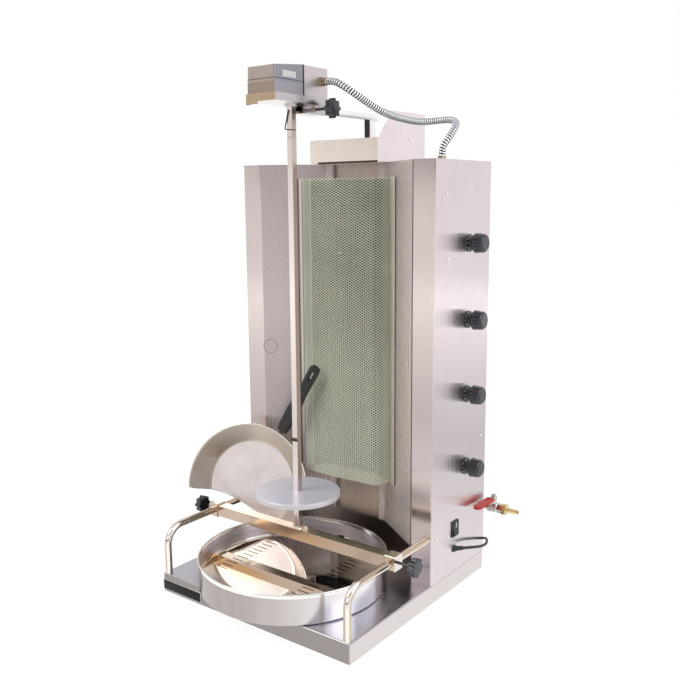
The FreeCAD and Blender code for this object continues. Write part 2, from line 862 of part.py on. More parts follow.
def drive_gear():
    """Output gear with the square socket for the spit."""
    teeth = [(x, y + spit_y) for x, y in gear_outline(gear_teeth, -math.pi / 2)]
    wheel = prism(teeth, gear_z, gear_z + gear_width)
    hub = rod(V(0, spit_y, socket_bottom), Z_AXIS, gear_hub_radius(), gear_z + gear_width - socket_bottom)
    half = spit_side / 2 + socket_play
    depth = spit_top - socket_bottom + seat_gap
    socket = block(-half, half, spit_y - half, spit_y + half, socket_bottom - 1, socket_bottom + depth)
    return wheel.fuse(hub).removeSplitter().cut(socket)


def motor_rotor():
    """Rotor with its shaft and the pinion that meshes with the output gear."""
    gap_phase = math.pi / 2 + math.pi / pinion_teeth
    teeth = [(x, y + motor_y) for x, y in gear_outline(pinion_teeth, gap_phase)]
    pinion = prism(teeth, gear_z, gear_z + gear_width)
    shaft_low = case_bottom + 1 + seat_gap
    shaft = rod(V(0, motor_y, shaft_low), Z_AXIS, screw_radius, case_top + 24 - shaft_low)
    core = rod(V(0, motor_y, case_top + 5), Z_AXIS, 12.0, 16)
    return joined([pinion, shaft, core])


def star_knob(face_x, y, z, screw_end):
    """Lobed grip with its hub and screw; the screw points towards the middle plane."""
    spread = math.pi / star_lobes
    lobe_at = star_radius - star_lobe_radius
    reach = star_lobe_radius + star_hollow_radius
    hollow_at = lobe_at * math.cos(spread) + math.sqrt(reach ** 2 - (lobe_at * math.sin(spread)) ** 2)

    def at(radius, angle):
        return V(face_x, y + radius * math.cos(angle), z + radius * math.sin(angle))

    edges = []
    for i in range(star_lobes):
        middle = 2 * spread * i
        lobe = at(lobe_at, middle)
        touch = []
        for side in (-1, 1):
            hollow = at(hollow_at, middle + side * spread)
            touch.append(lobe + (hollow - lobe) * (star_lobe_radius / reach))
        edges.append(Part.Arc(touch[0], at(star_radius, middle), touch[1]).toShape())
        following = at(lobe_at, middle + 2 * spread)
        hollow = at(hollow_at, middle + spread)
        landing = following + (hollow - following) * (star_lobe_radius / reach)
        edges.append(Part.Arc(touch[1], at(hollow_at - star_hollow_radius, middle + spread), landing).toShape())
    grip = Part.Face(Part.Wire(edges)).extrude(V(star_thickness, 0, 0))
    rims = [e for e in grip.Edges if abs(e.Vertexes[0].X - e.Vertexes[-1].X) < 1e-6]
    grip = grip.makeFillet(star_edge, rims)
    hub = rod(V(face_x - star_hub, y, z), X_AXIS, star_hub_radius, star_hub + 1)
    screw = rod(V(screw_end, y, z), X_AXIS, screw_radius, face_x - screw_end)
    return joined([grip, hub, screw])


def conduit():
    """Ribbed tube: every rib is four circles along the route, round a plain bore."""
    start = V(case_half + gland_length, motor_gland_y, motor_gland_z)
    end = V(housing_gland_x, housing_gland_y, housing_top + gland_length / 2)
    straight = 2 * conduit_radius + 3.0
    points = [start, start + X_AXIS * straight] + conduit_points + [end + Z_AXIS * straight, end]
    edges, radii, length = rounded_route(points)
    print("conduit radii", [round(r) for r in radii], "length", round(length))
    ribs = int((length - 4 * conduit_radius) / conduit_rib_pitch)
    lead = (length - ribs * conduit_rib_pitch) / 2
    stations = [(0.0, conduit_root_radius)]
    for i in range(ribs):
        at = lead + i * conduit_rib_pitch
        stations.append((at, conduit_root_radius))
        stations.append((at + 0.3 * conduit_rib_pitch, conduit_radius))
        stations.append((at + 0.6 * conduit_rib_pitch, conduit_radius))
        stations.append((at + 0.9 * conduit_rib_pitch, conduit_root_radius))
    stations.append((length, conduit_root_radius))
    rings = []
    side = Y_AXIS
    for distance, radius in stations:
        point, way = along_route(edges, distance)
        side = (side - way * way.dot(side)).normalize()
        rings.append(ring_wire(point, way, side, radius))
    bore = swept_tube(edges, conduit_bore)
    return Part.makeLoft(rings, True, True).cut(bore)


def along_route(edges, distance):
    """Point and heading at a distance along a chain of edges."""
    left = distance
    for edge in edges:
        if left <= edge.Length or edge is edges[-1]:
            at = edge.getParameterByLength(min(left, edge.Length))
            return edge.valueAt(at), edge.tangentAt(at)
        left -= edge.Length
    return None


def ring_wire(point, way, side, radius):
    """Circle round a heading that starts at a steady side."""
    circle = Part.Circle(point, way, radius)
    circle.XAxis = side
    return Part.Wire(circle.toShape())


def gland(base, axis, wall):
    """Conduit gland: hexagon on the wall, round sleeve beyond it, stub through the wall."""
    nut = hexagon(base, axis, 2 * gland_radius * 0.9, 6.0)
    if axis.z:
        sleeve_length = gland_length / 2
    else:
        sleeve_length = gland_length
    sleeve = rod(base, axis, gland_radius * 0.82, sleeve_length)
    stub = rod(base - axis * (wall + 4.0), axis, gland_radius - 3.6, wall + 4.0)
    bore = rod(base - axis * (wall + 5.0), axis, 4.5, wall + sleeve_length + 6.0)
    return joined([nut, sleeve, stub]).cut(bore)


def spit_bar():
    """Square spit with a round pivot below and the stop pin under the disc."""
    half = spit_side / 2
    bottom = bar_top + 2.0 + seat_gap
    bar = block(-half, half, spit_y - half, spit_y + half, bottom, spit_top)
    long_edges = [e for e in bar.Edges if abs(e.tangentAt(e.FirstParameter).z) > 0.9]
    bar = bar.makeFillet(1.0, long_edges)
    pivot = rod(V(0, spit_y, bottom - 14), Z_AXIS, pivot_radius, 15)
    pin = rod(V(-half - 5, spit_y, disc_top - disc_sheet - hub_height - stop_pin_radius - seat_gap), X_AXIS,
              stop_pin_radius, spit_side + 10)
    hole = rod(V(0, spit_y - half - 1, clip_bend - 16), Y_AXIS, 1.6, spit_side + 2)
    return joined([bar, pivot, pin]).cut(hole)


def spit_clip():
    """Wire clip on the face of the spit below the motor, and the small stop lower down."""
    y = spit_y - spit_side / 2 - clip_wire / 2 - 0.05
    points = [V(-0.5, y, clip_top), V(-11, y, clip_bend), V(16, y, clip_bend - 2.5)]
    edges, _, _ = rounded_route(points, 2.6)
    wire = swept_tube(edges, clip_wire / 2)
    half = spit_side / 2
    stop = block(-half, half - 1, spit_y - half - 3.5, spit_y - half - 0.05, stop_height - 3, stop_height + 3)
    tail = rod(V(half - 2, spit_y - half - 1.8, stop_height - 1), X_AXIS, 1.6, 5)
    return gathered([wire, joined([stop, tail])])


def meat_disc():
    """Round plate with a turned-down rim and a square hub that slides on the spit."""
    edge = 2.0
    top = disc_top
    r = disc_radius
    low = top - disc_rim
    t = disc_sheet
    profile = [(0, top - t), (0, top), (r - edge, top), ((r - 0.3 * edge, top - 0.3 * edge), (r, top - edge)),
               (r, low), (r - t, low), (r - t, top - t)]
    plate = lathe(profile, V(0, spit_y, 0), Z_AXIS)
    half = spit_side / 2 + socket_play
    outer = half + hub_wall
    hub = block(-outer, outer, spit_y - outer, spit_y + outer, top - t - hub_height, top - t + 0.5)
    hole = block(-half, half, spit_y - half, spit_y + half, top - t - hub_height - 1, top + 1)
    return joined([plate, hub]).cut(hole)


def crossbar():
    """Square tube with a clamp block at each end that slides on a rail."""
    end = rail_x - clamp_width / 2
    half = bar_side / 2
    outer = block(-end, end, spit_y - half, spit_y + half, bar_bottom, bar_top)
    inner = block(-end - 1, end + 1, spit_y - half + bar_wall, spit_y + half - bar_wall, bar_bottom + bar_wall,
                  bar_top - bar_wall)
    tube = outer.cut(inner)
    bush = rod(V(0, spit_y, bar_top - bar_wall - 1), Z_AXIS, bearing_radius() + 0.02, bar_wall + 2)
    pieces = [tube.cut(bush)]
    bores = []
    for side in (-1, 1):
        x = side * rail_x
        clamp = block(x - clamp_width / 2, x + clamp_width / 2, spit_y - clamp_length / 2,
                      spit_y + clamp_length / 2, rail_height - clamp_height / 2, rail_height + clamp_height / 2)
        long_edges = [e for e in clamp.Edges if abs(e.tangentAt(e.FirstParameter).x) > 0.9]
        pieces.append(clamp.makeFillet(3.0, long_edges))
        bores.append(rod(V(x, spit_y - clamp_length / 2 - 1, rail_height), Y_AXIS, rail_radius + running_fit,
                         clamp_length + 2))
        bores.append(rod(V(x, spit_y, rail_height), X_AXIS * side, screw_radius + running_fit, clamp_width))
    return joined(pieces).cut(bores)


def bearing_radius():
    """Body of the bearing pressed into the crossbar."""
    return pivot_radius + 4.0


def spit_bearing():
    """Flanged bearing in the top of the crossbar, in which the spit's pivot turns."""
    low = bar_top - 16.0
    flange = rod(V(0, spit_y, bar_top), Z_AXIS, bearing_radius() + 1.5, 2.0)
    body = rod(V(0, spit_y, low), Z_AXIS, bearing_radius(), bar_top - low + 1)
    bore = rod(V(0, spit_y, low + 2), Z_AXIS, pivot_radius + running_fit, 20)
    return joined([flange, body]).cut(bore)


def rail():
    """Right rail: a tube that rises from the plinth and bends back to the housing."""
    foot = V(rail_x, rail_foot_y, plinth_height)
    corner = V(rail_x, rail_foot_y, rail_height)
    end = V(rail_x, housing_front, rail_height)
    edges, _, _ = rounded_route([foot, corner, end], rail_bend)
    return swept_tube(edges, rail_radius, rail_bore)


def drip_pan():
    """Round pan with a rolled rim and an inner ledge for the drain plate."""
    t = pan_sheet
    ro = pan_rim_radius - pan_bead
    rf = pan_floor_radius
    z0 = pan_floor
    z1 = pan_rim_height - pan_bead
    ledge = plate_top - plate_sheet
    slope = (ro - rf) / (z1 - z0)
    c = pan_corner
    turn = c * (1 - math.sqrt(0.5))

    def wall(z):
        return rf + slope * (z - z0)

    profile = [(0, z0), (rf - c, z0), ((rf - turn, z0 + turn), (rf, z0 + c)), (wall(z1), z1), (wall(z1) - t, z1),
               (wall(ledge) - t, ledge), (wall(ledge) - t - ledge_width, ledge),
               (wall(ledge) - t - ledge_width, ledge - 1.5), (wall(ledge - 6) - t, ledge - 6),
               (rf - t, z0 + c), ((rf - turn - t * 0.7, z0 + turn + t * 0.7), (rf - c, z0 + t)), (0, z0 + t)]
    centre = V(0, pan_y, 0)
    pan = lathe(profile, centre, Z_AXIS)
    bead = Part.makeTorus(pan_rim_radius - pan_bead, pan_bead, V(0, pan_y, z1), Z_AXIS)
    return joined([pan, bead])


def drain_plate():
    """Flat plate in the pan with a column of slots near each side."""
    wall = pan_floor_radius + (pan_rim_radius - pan_bead - pan_floor_radius) * 0.5
    radius = wall - pan_sheet - plate_edge_gap
    plate = rod(V(0, pan_y, plate_top - plate_sheet), Z_AXIS, radius, plate_sheet)
    cuts = []
    for side in (-1, 1):
        for i in range(slot_count):
            y = pan_y + (i - (slot_count - 1) / 2) * slot_pitch
            x0, x1 = sorted((side * slot_inner, side * (slot_inner + slot_length)))
            cuts.append(block(x0, x1, y - slot_width / 2, y + slot_width / 2, plate_top - 5, plate_top + 5))
    cuts.append(rod(V(0, pan_y + radius - 3 * finger_hole_radius, plate_top - 5), Z_AXIS, finger_hole_radius, 10))
    return plate.cut(cuts)


def scoop_facing():
    """The way the scoop's open side faces."""
    return scoop_across.cross(scoop_up).normalize()


def scoop_way(degrees):
    """Direction in the scoop's rim plane, turned from its sideways direction."""
    angle = math.radians(degrees)
    return scoop_across * math.cos(angle) + scoop_up * math.sin(angle)


def scoop_pan():
    """Shallow dish with a curved piece cut away below, and a tang for the handle."""
    n = scoop_facing()
    t = scoop_sheet
    r0 = scoop_floor_radius
    r1 = scoop_rim_radius
    d = scoop_depth
    side = math.hypot(r1 - r0, d)
    wall = t * side / d
    profile = [(0, -d - t), (r0 + wall * 0.5, -d - t), (r1 + wall, 0), (r1, 0), (r0, -d), (0, -d)]
    edges = []
    places = [scoop_centre + scoop_across * r + n * h for r, h in profile]
    for a, b in zip(places, places[1:] + places[:1]):
        edges.append(Part.LineSegment(a, b).toShape())
    dish = Part.Face(Part.Wire(edges)).revolve(scoop_centre, n, 360)
    bead = Part.makeTorus(r1 + wall / 2, 1.6, scoop_centre, n)
    up = scoop_way(scoop_handle_turn)
    across = up.cross(n)
    root = scoop_centre + up * (r1 - 2.0) - n * 9.0
    lean = (handle_tip - root).normalize()
    side_way = lean.cross(across).normalize()
    tang_face = [root + across * (s * tang_width / 2) + side_way * (h * tang_sheet / 2)
                 for s, h in ((-1, -1), (1, -1), (1, 1), (-1, 1))]
    tang_face = [corner - lean * tang_foot for corner in tang_face]
    tang = Part.Face(Part.makePolygon(tang_face + tang_face[:1])).extrude(lean * (tang_length + tang_foot))
    centre = scoop_centre + up * (scoop_cut_height - scoop_cut_radius) + across * scoop_cut_side
    cutter = rod(centre - n * 100, n, scoop_cut_radius, 200)
    below = block(-500, 500, -500, 500, 0, pan_rim_height + scoop_rest_gap)
    scoop = joined([dish, bead, tang]).cut([cutter, below])
    return max(scoop.Solids, key=lambda solid: solid.Volume)


def scoop_handle():
    """Black grip with a hanging slot, on the tang of the scoop."""
    n = scoop_facing()
    up = scoop_way(scoop_handle_turn)
    across = up.cross(n)
    root = scoop_centre + up * (scoop_rim_radius - 2.0) - n * 9.0
    lean = (handle_tip - root).normalize()
    depth = lean.cross(across).normalize()
    start = 10.0
    length = (handle_tip - root).Length
    half0 = handle_root_width / 2
    half1 = handle_tip_width / 2

    def at(along, sideways):
        return root + lean * along + across * sideways - depth * (handle_thickness / 2)

    edges = [Part.LineSegment(at(start, -half0), at(length - half1, -half1)).toShape(),
             Part.Arc(at(length - half1, -half1), at(length, 0), at(length - half1, half1)).toShape(),
             Part.LineSegment(at(length - half1, half1), at(start, half0)).toShape(),
             Part.LineSegment(at(start, half0), at(start, -half0)).toShape()]
    grip = Part.Face(Part.Wire(edges)).extrude(depth * handle_thickness)
    grip = grip.makeFillet(handle_edge, grip.Edges)
    slot_middle = length - handle_slot_from_tip
    reach = (handle_slot_length - handle_slot_width) / 2
    ends = [at(slot_middle + s * reach, 0) - depth * 5 for s in (-1, 1)]
    cuts = [rod(end, depth, handle_slot_width / 2, handle_thickness + 10) for end in ends]
    corners = [at(slot_middle + s * reach, h * handle_slot_width / 2) - depth * 5
               for s, h in ((-1, -1), (1, -1), (1, 1), (-1, 1))]
    cuts.append(Part.Face(Part.makePolygon(corners + corners[:1])).extrude(depth * (handle_thickness + 10)))
    half_tang = tang_width / 2 + seat_gap
    thick = tang_sheet / 2 + seat_gap
    pocket_face = [root + across * (s * half_tang) + depth * (h * thick) for s, h in ((-1, -1), (1, -1), (1, 1), (-1, 1))]
    pocket = Part.Face(Part.makePolygon(pocket_face + pocket_face[:1])).extrude(lean * (tang_length + seat_gap))
    return grip.cut(cuts + [pocket])


def gas_knob(z):
    """Round knob with a narrow neck and a rounded outer end, bored for its stem."""
    base = V(half_width, tap_y, z)
    back = knob_back
    neck = back + knob_neck
    r = knob_radius
    end = knob_length
    c = knob_end_radius
    turn = c * (1 - math.sqrt(0.5))
    profile = [(0, back), (knob_neck_radius, back), (knob_neck_radius, neck), (r - 3, neck + 1), (r, neck + 4),
               (r, neck + 6), (r - 0.8, neck + 7.5), (r - 1.5, end - c), ((r - 1.5 - turn, end - turn), (r - 1.5 - c, end)),
               (0, end)]
    bore = rod(base + X_AXIS * (back - 1), X_AXIS, stem_radius + running_fit, stem_reach - back + 1.6)
    return lathe(profile, base, X_AXIS).cut(bore)


def gas_stem(z):
    """Stem that runs from inside the tap into the knob."""
    return rod(V(stem_inner, tap_y, z), X_AXIS, stem_radius, half_width + stem_reach - stem_inner)


def knob_bezel(z):
    """Flat ring on the wall round a knob's neck."""
    return ring(V(half_width, tap_y, z), X_AXIS, bezel_radius, knob_neck_radius + 1.0, bezel_thickness)


def gas_tap(z):
    """Tap body against the inside of the wall, with its outlet and the branch to the manifold."""
    start = stem_inner - 8
    body = rod(V(start, tap_y, z), X_AXIS, tap_radius, wall_inside - start - seat_gap)
    flange = rod(V(wall_inside - 4, tap_y, z), X_AXIS, tap_flange, 4 - seat_gap)
    outlet = rod(V(start - 6, tap_y, z), X_AXIS, tap_outlet, 7)
    branch = rod(V(tap_x, tap_y, z), Y_AXIS, 5.0, manifold_y - tap_y)
    main = rod(V(tap_x, manifold_y, z - 20), Z_AXIS, manifold_radius + 0.02, 40)
    bore = rod(V(stem_inner - 5, tap_y, z), X_AXIS, stem_radius + running_fit, 60)
    return joined([body, flange, outlet, branch]).cut([main, bore])


def gas_pipes():
    """Manifold that rises past the taps and leaves through the back, and the four injector pipes."""
    points = [V(tap_x, manifold_y, knob_z[-1] + 20), V(tap_x, manifold_y, valve_z), V(tap_x, valve_y, valve_z),
              V(valve_start, valve_y, valve_z)]
    edges, _, _ = rounded_route(points, manifold_radius + 5.5)
    main = swept_tube(edges, manifold_radius, manifold_bore)
    pipes = [main]
    start = burner_width / 2 + mixer_length - 6
    end = stem_inner - 14
    for z in knob_z:
        pipes.append(ring(V(start, tap_y, z), X_AXIS, injector_radius, injector_bore, end - start))
    return gathered(pipes)


def valve_body():
    """Ball valve along X with a hexagon at each end and a tower for its stem."""
    axis = V(valve_start, valve_y, valve_z)
    length = valve_length + valve_hex_length
    first = hexagon(axis, X_AXIS, valve_hex, 7.0)
    c = 2.0
    profile = [(0, 5), (valve_radius - c, 5), (valve_radius, 5 + c), (valve_radius, valve_length - 1 - c),
               (valve_radius - c, valve_length - 1), (0, valve_length - 1)]
    middle = lathe(profile, axis, X_AXIS)
    last = hexagon(axis + X_AXIS * (valve_length - 2), X_AXIS, valve_hex - 2, valve_hex_length + 2)
    tower = rod(V(valve_stem_x, valve_y, valve_z), Z_AXIS, 7.5, valve_tower)
    bore = rod(axis - X_AXIS, X_AXIS, 5.5, length + 2)
    stem_bore = rod(V(valve_stem_x, valve_y, valve_z + 8), Z_AXIS, valve_stem_radius + running_fit, 20)
    return joined([first, middle, last, tower]).cut([bore, stem_bore])


def valve_lever():
    """Lever with its stem and nut; the grip points towards the front when the valve is shut."""
    x = valve_stem_x
    top = lever_z + lever_thickness
    stem = rod(V(x, valve_y, valve_z + 9), Z_AXIS, valve_stem_radius, top + 2 - valve_z - 9)
    nut = hexagon(V(x, valve_y, lever_z + 2.5), Z_AXIS, 11.0, 6.0)
    plate = block(x - 6, x + 6, valve_y - lever_sleeve_back - 4, valve_y, lever_z, lever_z + 2.5)
    eye = rod(V(x, valve_y, lever_z), Z_AXIS, 8.0, 2.5)
    half = lever_width / 2
    y1 = valve_y - lever_sleeve_back
    y0 = valve_y - lever_reach
    sleeve = block(x - half, x + half, y0 + half * 0.8, y1, lever_z - 1, top)
    tip = rod(V(x, y0 + half, lever_z - 1), Z_AXIS, half, lever_thickness + 1)
    grip = joined([sleeve, tip])
    grip = grip.makeFillet(1.2, [e for e in grip.Edges if abs(e.BoundBox.ZMax - top) < 1e-3
                                 and abs(e.BoundBox.ZMin - top) < 1e-3])
    window = block(x - 5, x + 5, y1 - 5 - lever_window, y1 - 5, top - 1.2, top + 1)
    return joined([stem, nut, plate, eye, grip.cut(window)])


def hose_tail():
    """Union nut and barbed tail for the supply hose."""
    start = valve_start + valve_length + valve_hex_length
    nut = hexagon(V(start, valve_y, valve_z), X_AXIS, valve_hex, tail_nut)
    profile = [(0, tail_nut - 1)]
    barb = tail_length / tail_barbs
    for i in range(tail_barbs):
        at = tail_nut + i * barb
        profile += [(tail_radius + 1.0, at + 0.4), (tail_radius, at + barb)]
    profile[1] = (tail_radius + 1.0, tail_nut - 1)
    profile.append((0, tail_nut + tail_length))
    tail = lathe(profile, V(start, valve_y, valve_z), X_AXIS)
    bore = rod(V(start - 1, valve_y, valve_z), X_AXIS, 3.2, tail_nut + tail_length + 2)
    return joined([nut, tail]).cut(bore)


def switch_housing():
    """Frame on the wall and the box behind it, open in front for the rocker."""
    y = switch_width / 2
    z = switch_height / 2
    frame = block(half_width, half_width + switch_frame, switch_y - y, switch_y + y, switch_z - z, switch_z + z)
    front = [e for e in frame.Edges if abs(e.tangentAt(e.FirstParameter).x) > 0.9]
    frame = frame.makeFillet(3.0, front)
    inset = 1.7
    box = block(half_width - switch_depth, half_width + 1, switch_y - y + inset, switch_y + y - inset,
                switch_z - z + inset, switch_z + z - inset)
    hy = rocker_width / 2 + slide_gap
    hz = rocker_height / 2 + 1.2
    hollow = block(half_width - switch_depth + 6, half_width + switch_frame + 1, switch_y - hy, switch_y + hy,
                   switch_z - hz, switch_z + hz)
    pin = rod(V(rocker_x(), switch_y - hy - 2, switch_z), Y_AXIS, rocker_pin_radius + running_fit, 2 * hy + 4)
    return joined([frame, box]).cut([hollow, pin])


def rocker_x():
    """Depth of the rocker's axis."""
    return half_width - 5.0


def switch_rocker():
    """Rocker with a shallow valley, resting with its upper half pressed in."""
    half = rocker_height / 2
    x = rocker_x()
    z = switch_z
    y = switch_y - rocker_width / 2
    points = [V(x - 5, y, z - half * 0.6), V(x + 3, y, z - half), V(half_width + switch_frame + 2.2, y, z - half),
              V(half_width + switch_frame + 0.6, y, z), V(half_width + switch_frame + 2.2, y, z + half),
              V(x + 3, y, z + half), V(x - 5, y, z + half * 0.6)]
    body = Part.Face(Part.makePolygon(points + points[:1])).extrude(V(0, rocker_width, 0))
    pin = rod(V(x, y - 1.8, z), Y_AXIS, rocker_pin_radius, rocker_width + 3.6)
    rocker = joined([body, pin])
    rocker.rotate(V(x, switch_y, z), Y_AXIS, -rocker_tilt)
    return rocker


def bush_way():
    """The cable leaves the wall slanting towards the back."""
    return V(1, 1, 0).normalize()


def cable_start():
    """Place inside the strain relief where the modelled cable begins."""
    return V(half_width, bush_y, bush_z) + bush_way() * bush_grip


def cable_bush():
    """Strain relief: flange on the wall, stub through it and a tapered sleeve."""
    wall = V(half_width, bush_y, bush_z)
    flange = rod(wall, X_AXIS, bush_flange_radius, bush_flange)
    stub = rod(wall - X_AXIS * 8, X_AXIS, bush_flange_radius - 2.3, 9)
    sleeve = Part.makeCone(bush_flange_radius - 1.5, cable_radius + 1.2, bush_length + 4, wall - bush_way() * 4,
                           bush_way())
    inside = block(half_width - 30, half_width, bush_y - 30, bush_y + 30, bush_z - 30, bush_z + 30)
    body = joined([flange, sleeve.cut(inside), stub])
    bore = rod(cable_start(), bush_way(), cable_radius + 0.05, bush_length)
    return body.cut(bore)


def coil_start():
    """Place where the cable runs into the outer turn on the floor."""
    outer = coil_middle_radius + coil_step * coil_turns_in / 2
    return V(coil_centre.x, coil_centre.y - outer, cable_radius)


def power_cable():
    """Mains cable from its strain relief round the corner of the housing and down to the floor."""
    start = cable_start()
    leaving = start + bush_way() * cable_first_run
    arriving = coil_start() - coil_heading(0) * cable_last_run
    points = [start, leaving] + cable_points + [arriving, coil_start()]
    edges, radii, length = rounded_route(points)
    print("cable radii", [round(r) for r in radii], "length", round(length))
    tube = swept_tube(edges, cable_radius)
    print("cable volume ratio", round(tube.Volume / (math.pi * cable_radius ** 2 * length), 4))
    return tube


def coil_place(turned):
    """Centre line of the coil after so many turns: in on the floor, up a layer, and out again."""
    outer = coil_middle_radius + coil_step * coil_turns_in / 2
    inner = outer - coil_step * coil_turns_in
    climb_end = coil_turns_in + 0.5
    if turned <= coil_turns_in:
        radius = outer - coil_step * turned
        height = 0.0
    elif turned <= climb_end:
        share = (turned - coil_turns_in) / 0.5
        radius = inner - 0.3 * coil_step * math.sin(math.pi * share)
        height = coil_step * (1 - math.cos(math.pi * share)) / 2
    else:
        radius = inner + coil_step * (turned - climb_end)
        height = coil_step
    angle = -math.pi / 2 - 2 * math.pi * turned
    return coil_centre + V(radius * math.cos(angle), radius * math.sin(angle), cable_radius + height)


def coil_heading(turned):
    """Heading of the coil's centre line."""
    small = 0.001
    total = coil_turns_in + 0.5 + coil_turns_out
    low = max(turned - small, 0.0)
    high = min(turned + small, total)
    return (coil_place(high) - coil_place(low)).normalize()


def cable_coil():
    """Spare cable wound as one tube, in two layers, and its short lead to the plug."""
    total = coil_turns_in + 0.5 + coil_turns_out
    steps = int(total * 4)
    edges = []
    for i in range(steps):
        a = total * i / steps
        b = total * (i + 1) / steps
        edges += biarc(coil_place(a), coil_heading(a), coil_place(b), coil_heading(b))
    edges += biarc(coil_place(total), coil_heading(total), plug_entry(), V(-1, 0, 0))
    length = sum(edge.Length for edge in edges)
    print("coil length", round(length), "least gap", round(least_gap(edges), 2))
    return swept_tube(edges, cable_radius)


def least_gap(edges):
    """Smallest distance between the surfaces of two turns, measured on points of the line."""
    spacing = 2.5
    points = []
    travelled = 0.0
    for edge in edges:
        for i in range(max(int(edge.Length / spacing), 1)):
            step = edge.Length * i / max(int(edge.Length / spacing), 1)
            points.append((travelled + step, edge.valueAt(edge.getParameterByLength(step))))
        travelled += edge.Length
    least = float("inf")
    for i, (at, place) in enumerate(points):
        for other_at, other in points[i + 1:]:
            if other_at - at > 16 * cable_radius:
                least = min(least, (place - other).Length)
    return least - 2 * cable_radius


def plug_entry():
    """Place where the cable runs into the plug, at the plug's own height."""
    end = coil_place(coil_turns_in + 0.5 + coil_turns_out)
    return V(end.x - plug_lead, end.y, plug_radius)


def plug():
    """Round two-pin plug lying beside the coil."""
    entry = plug_entry()
    way = V(-1, 0, 0)
    relief = Part.makeCone(cable_radius + 1.2, cable_radius + 3.8, plug_relief, entry, way)
    body_start = entry + way * plug_relief
    neck = Part.makeCone(cable_radius + 4.5, plug_radius * 0.8, plug_length * 0.4, body_start, way)
    head = rod(body_start + way * (plug_length * 0.4), way, plug_radius, plug_length * 0.6)
    rims = [e for e in head.Edges if e.Closed]
    head = head.makeFillet(2.0, rims)
    face = body_start + way * plug_length
    pins = []
    for side in (-1, 1):
        at = face + V(0.5, side * plug_pin_spacing / 2, 0)
        pin = rod(at, way, plug_pin_radius, plug_pin_length + 0.5)
        tip = [e for e in pin.Edges if e.Closed and abs(e.CenterOfMass.x - at.x) > plug_pin_length / 2]
        pins.append(pin.makeFillet(1.2, tip))
    return joined([relief, neck, head] + pins)


def fasteners():
    """Pan-head screws on the walls, the hood and the wings."""
    screws = []
    for y, z in wall_screws:
        base = V(half_width, y, z)
        screws.append(screw_head_at(base, X_AXIS))
    tower = V(hood_width / 2 + sheet, post_y + tower_screw_behind_post, housing_top + tower_screw_rise)
    screws.append(screw_head_at(tower, X_AXIS))
    for side in (-1, 1):
        for z in (plinth_height + 60.0, 0.5 * housing_top, housing_top - 60.0):
            base = V(side * (half_width - 12.0), half_depth, z)
            screws.append(screw_head_at(base, Y_AXIS))
    return gathered(screws)


def screw_head_at(base, axis):
    """Low round head with a cross recess."""
    head = rod(base, axis, screw_head_radius, screw_head)
    rims = [e for e in head.Edges if e.Closed and (e.CenterOfMass - base).Length > screw_head / 2]
    return head.makeFillet(0.8, rims)


def all_parts():
    """Every separate piece under its own name."""
    parts = {
        "base_tray": base_tray(),
        "base_plate": base_plate(),
        "side_cover_left": side_cover(False),
        "side_cover_right": side_cover(True),
        "reflector_left": mirrored(reflector()),
        "reflector_right": reflector(),
        "burner_wall": burner_wall(),
        "back_cover": back_cover(),
        "top_cover": top_cover(),
        "flue_hood": flue_hood(),
        "burner_bodies": gathered([burner_body(z) for z in burner_z]),
        "burner_plaques": gathered([burner_plaque(z) for z in burner_z]),
        "mesh_guard": mesh_guard(),
        "arm_post": arm_post(),
        "arm_tube": arm_tube(),
        "motor_tray": motor_tray(),
        "gearbox_case": gearbox_case(),
        "motor_cover": motor_cover(),
        "terminal_box": terminal_box(),
        "motor_stator": motor_stator(),
        "motor_rotor": motor_rotor(),
        "drive_gear": drive_gear(),
        "arm_knob": star_knob(arm_star_x, arm_star_y, arm_screw_z(), arm_width / 2 + seat_gap),
        "conduit": conduit(),
        "gland_motor": gland(V(case_half, motor_gland_y, motor_gland_z), X_AXIS, 2.0),
        "gland_housing": gland(V(housing_gland_x, housing_gland_y, housing_top), Z_AXIS, sheet),
        "spit_bar": spit_bar(),
        "spit_clip": spit_clip(),
        "meat_disc": meat_disc(),
        "crossbar": crossbar(),
        "spit_bearing": spit_bearing(),
        "rail_left": mirrored(rail()),
        "rail_right": rail(),
        "drip_pan": drip_pan(),
        "drain_plate": drain_plate(),
        "scoop_pan": scoop_pan(),
        "scoop_handle": scoop_handle(),
        "gas_taps": gathered([gas_tap(z) for z in knob_z]),
        "gas_pipes": gas_pipes(),
        "knob_bezels": gathered([knob_bezel(z) for z in knob_z]),
        "valve_body": valve_body(),
        "valve_lever": valve_lever(),
        "hose_tail": hose_tail(),
        "switch_housing": switch_housing(),
        "switch_rocker": switch_rocker(),
        "cable_bush": cable_bush(),
        "power_cable": power_cable(),
        "cable_coil": cable_coil(),
        "plug": plug(),
        "fasteners": fasteners(),
    }
    rail_star = star_knob(rail_x + clamp_width / 2 + rail_star_gap + star_hub, spit_y, rail_height,
                          rail_x + rail_radius + seat_gap)
    parts["rail_knob_right"] = rail_star
    parts["rail_knob_left"] = mirrored(rail_star)
    for i, z in enumerate(knob_z):
        parts["gas_knob_%d" % (i + 1)] = gas_knob(z)
        parts["gas_stem_%d" % (i + 1)] = gas_stem(z)
    return parts


os.makedirs("parts", exist_ok=True)
for name, shape in all_parts().items():
    shape.exportStep(os.path.join("parts", name + ".step"))
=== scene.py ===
"""Looks of a vertical gas spit grill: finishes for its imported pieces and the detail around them."""
import math

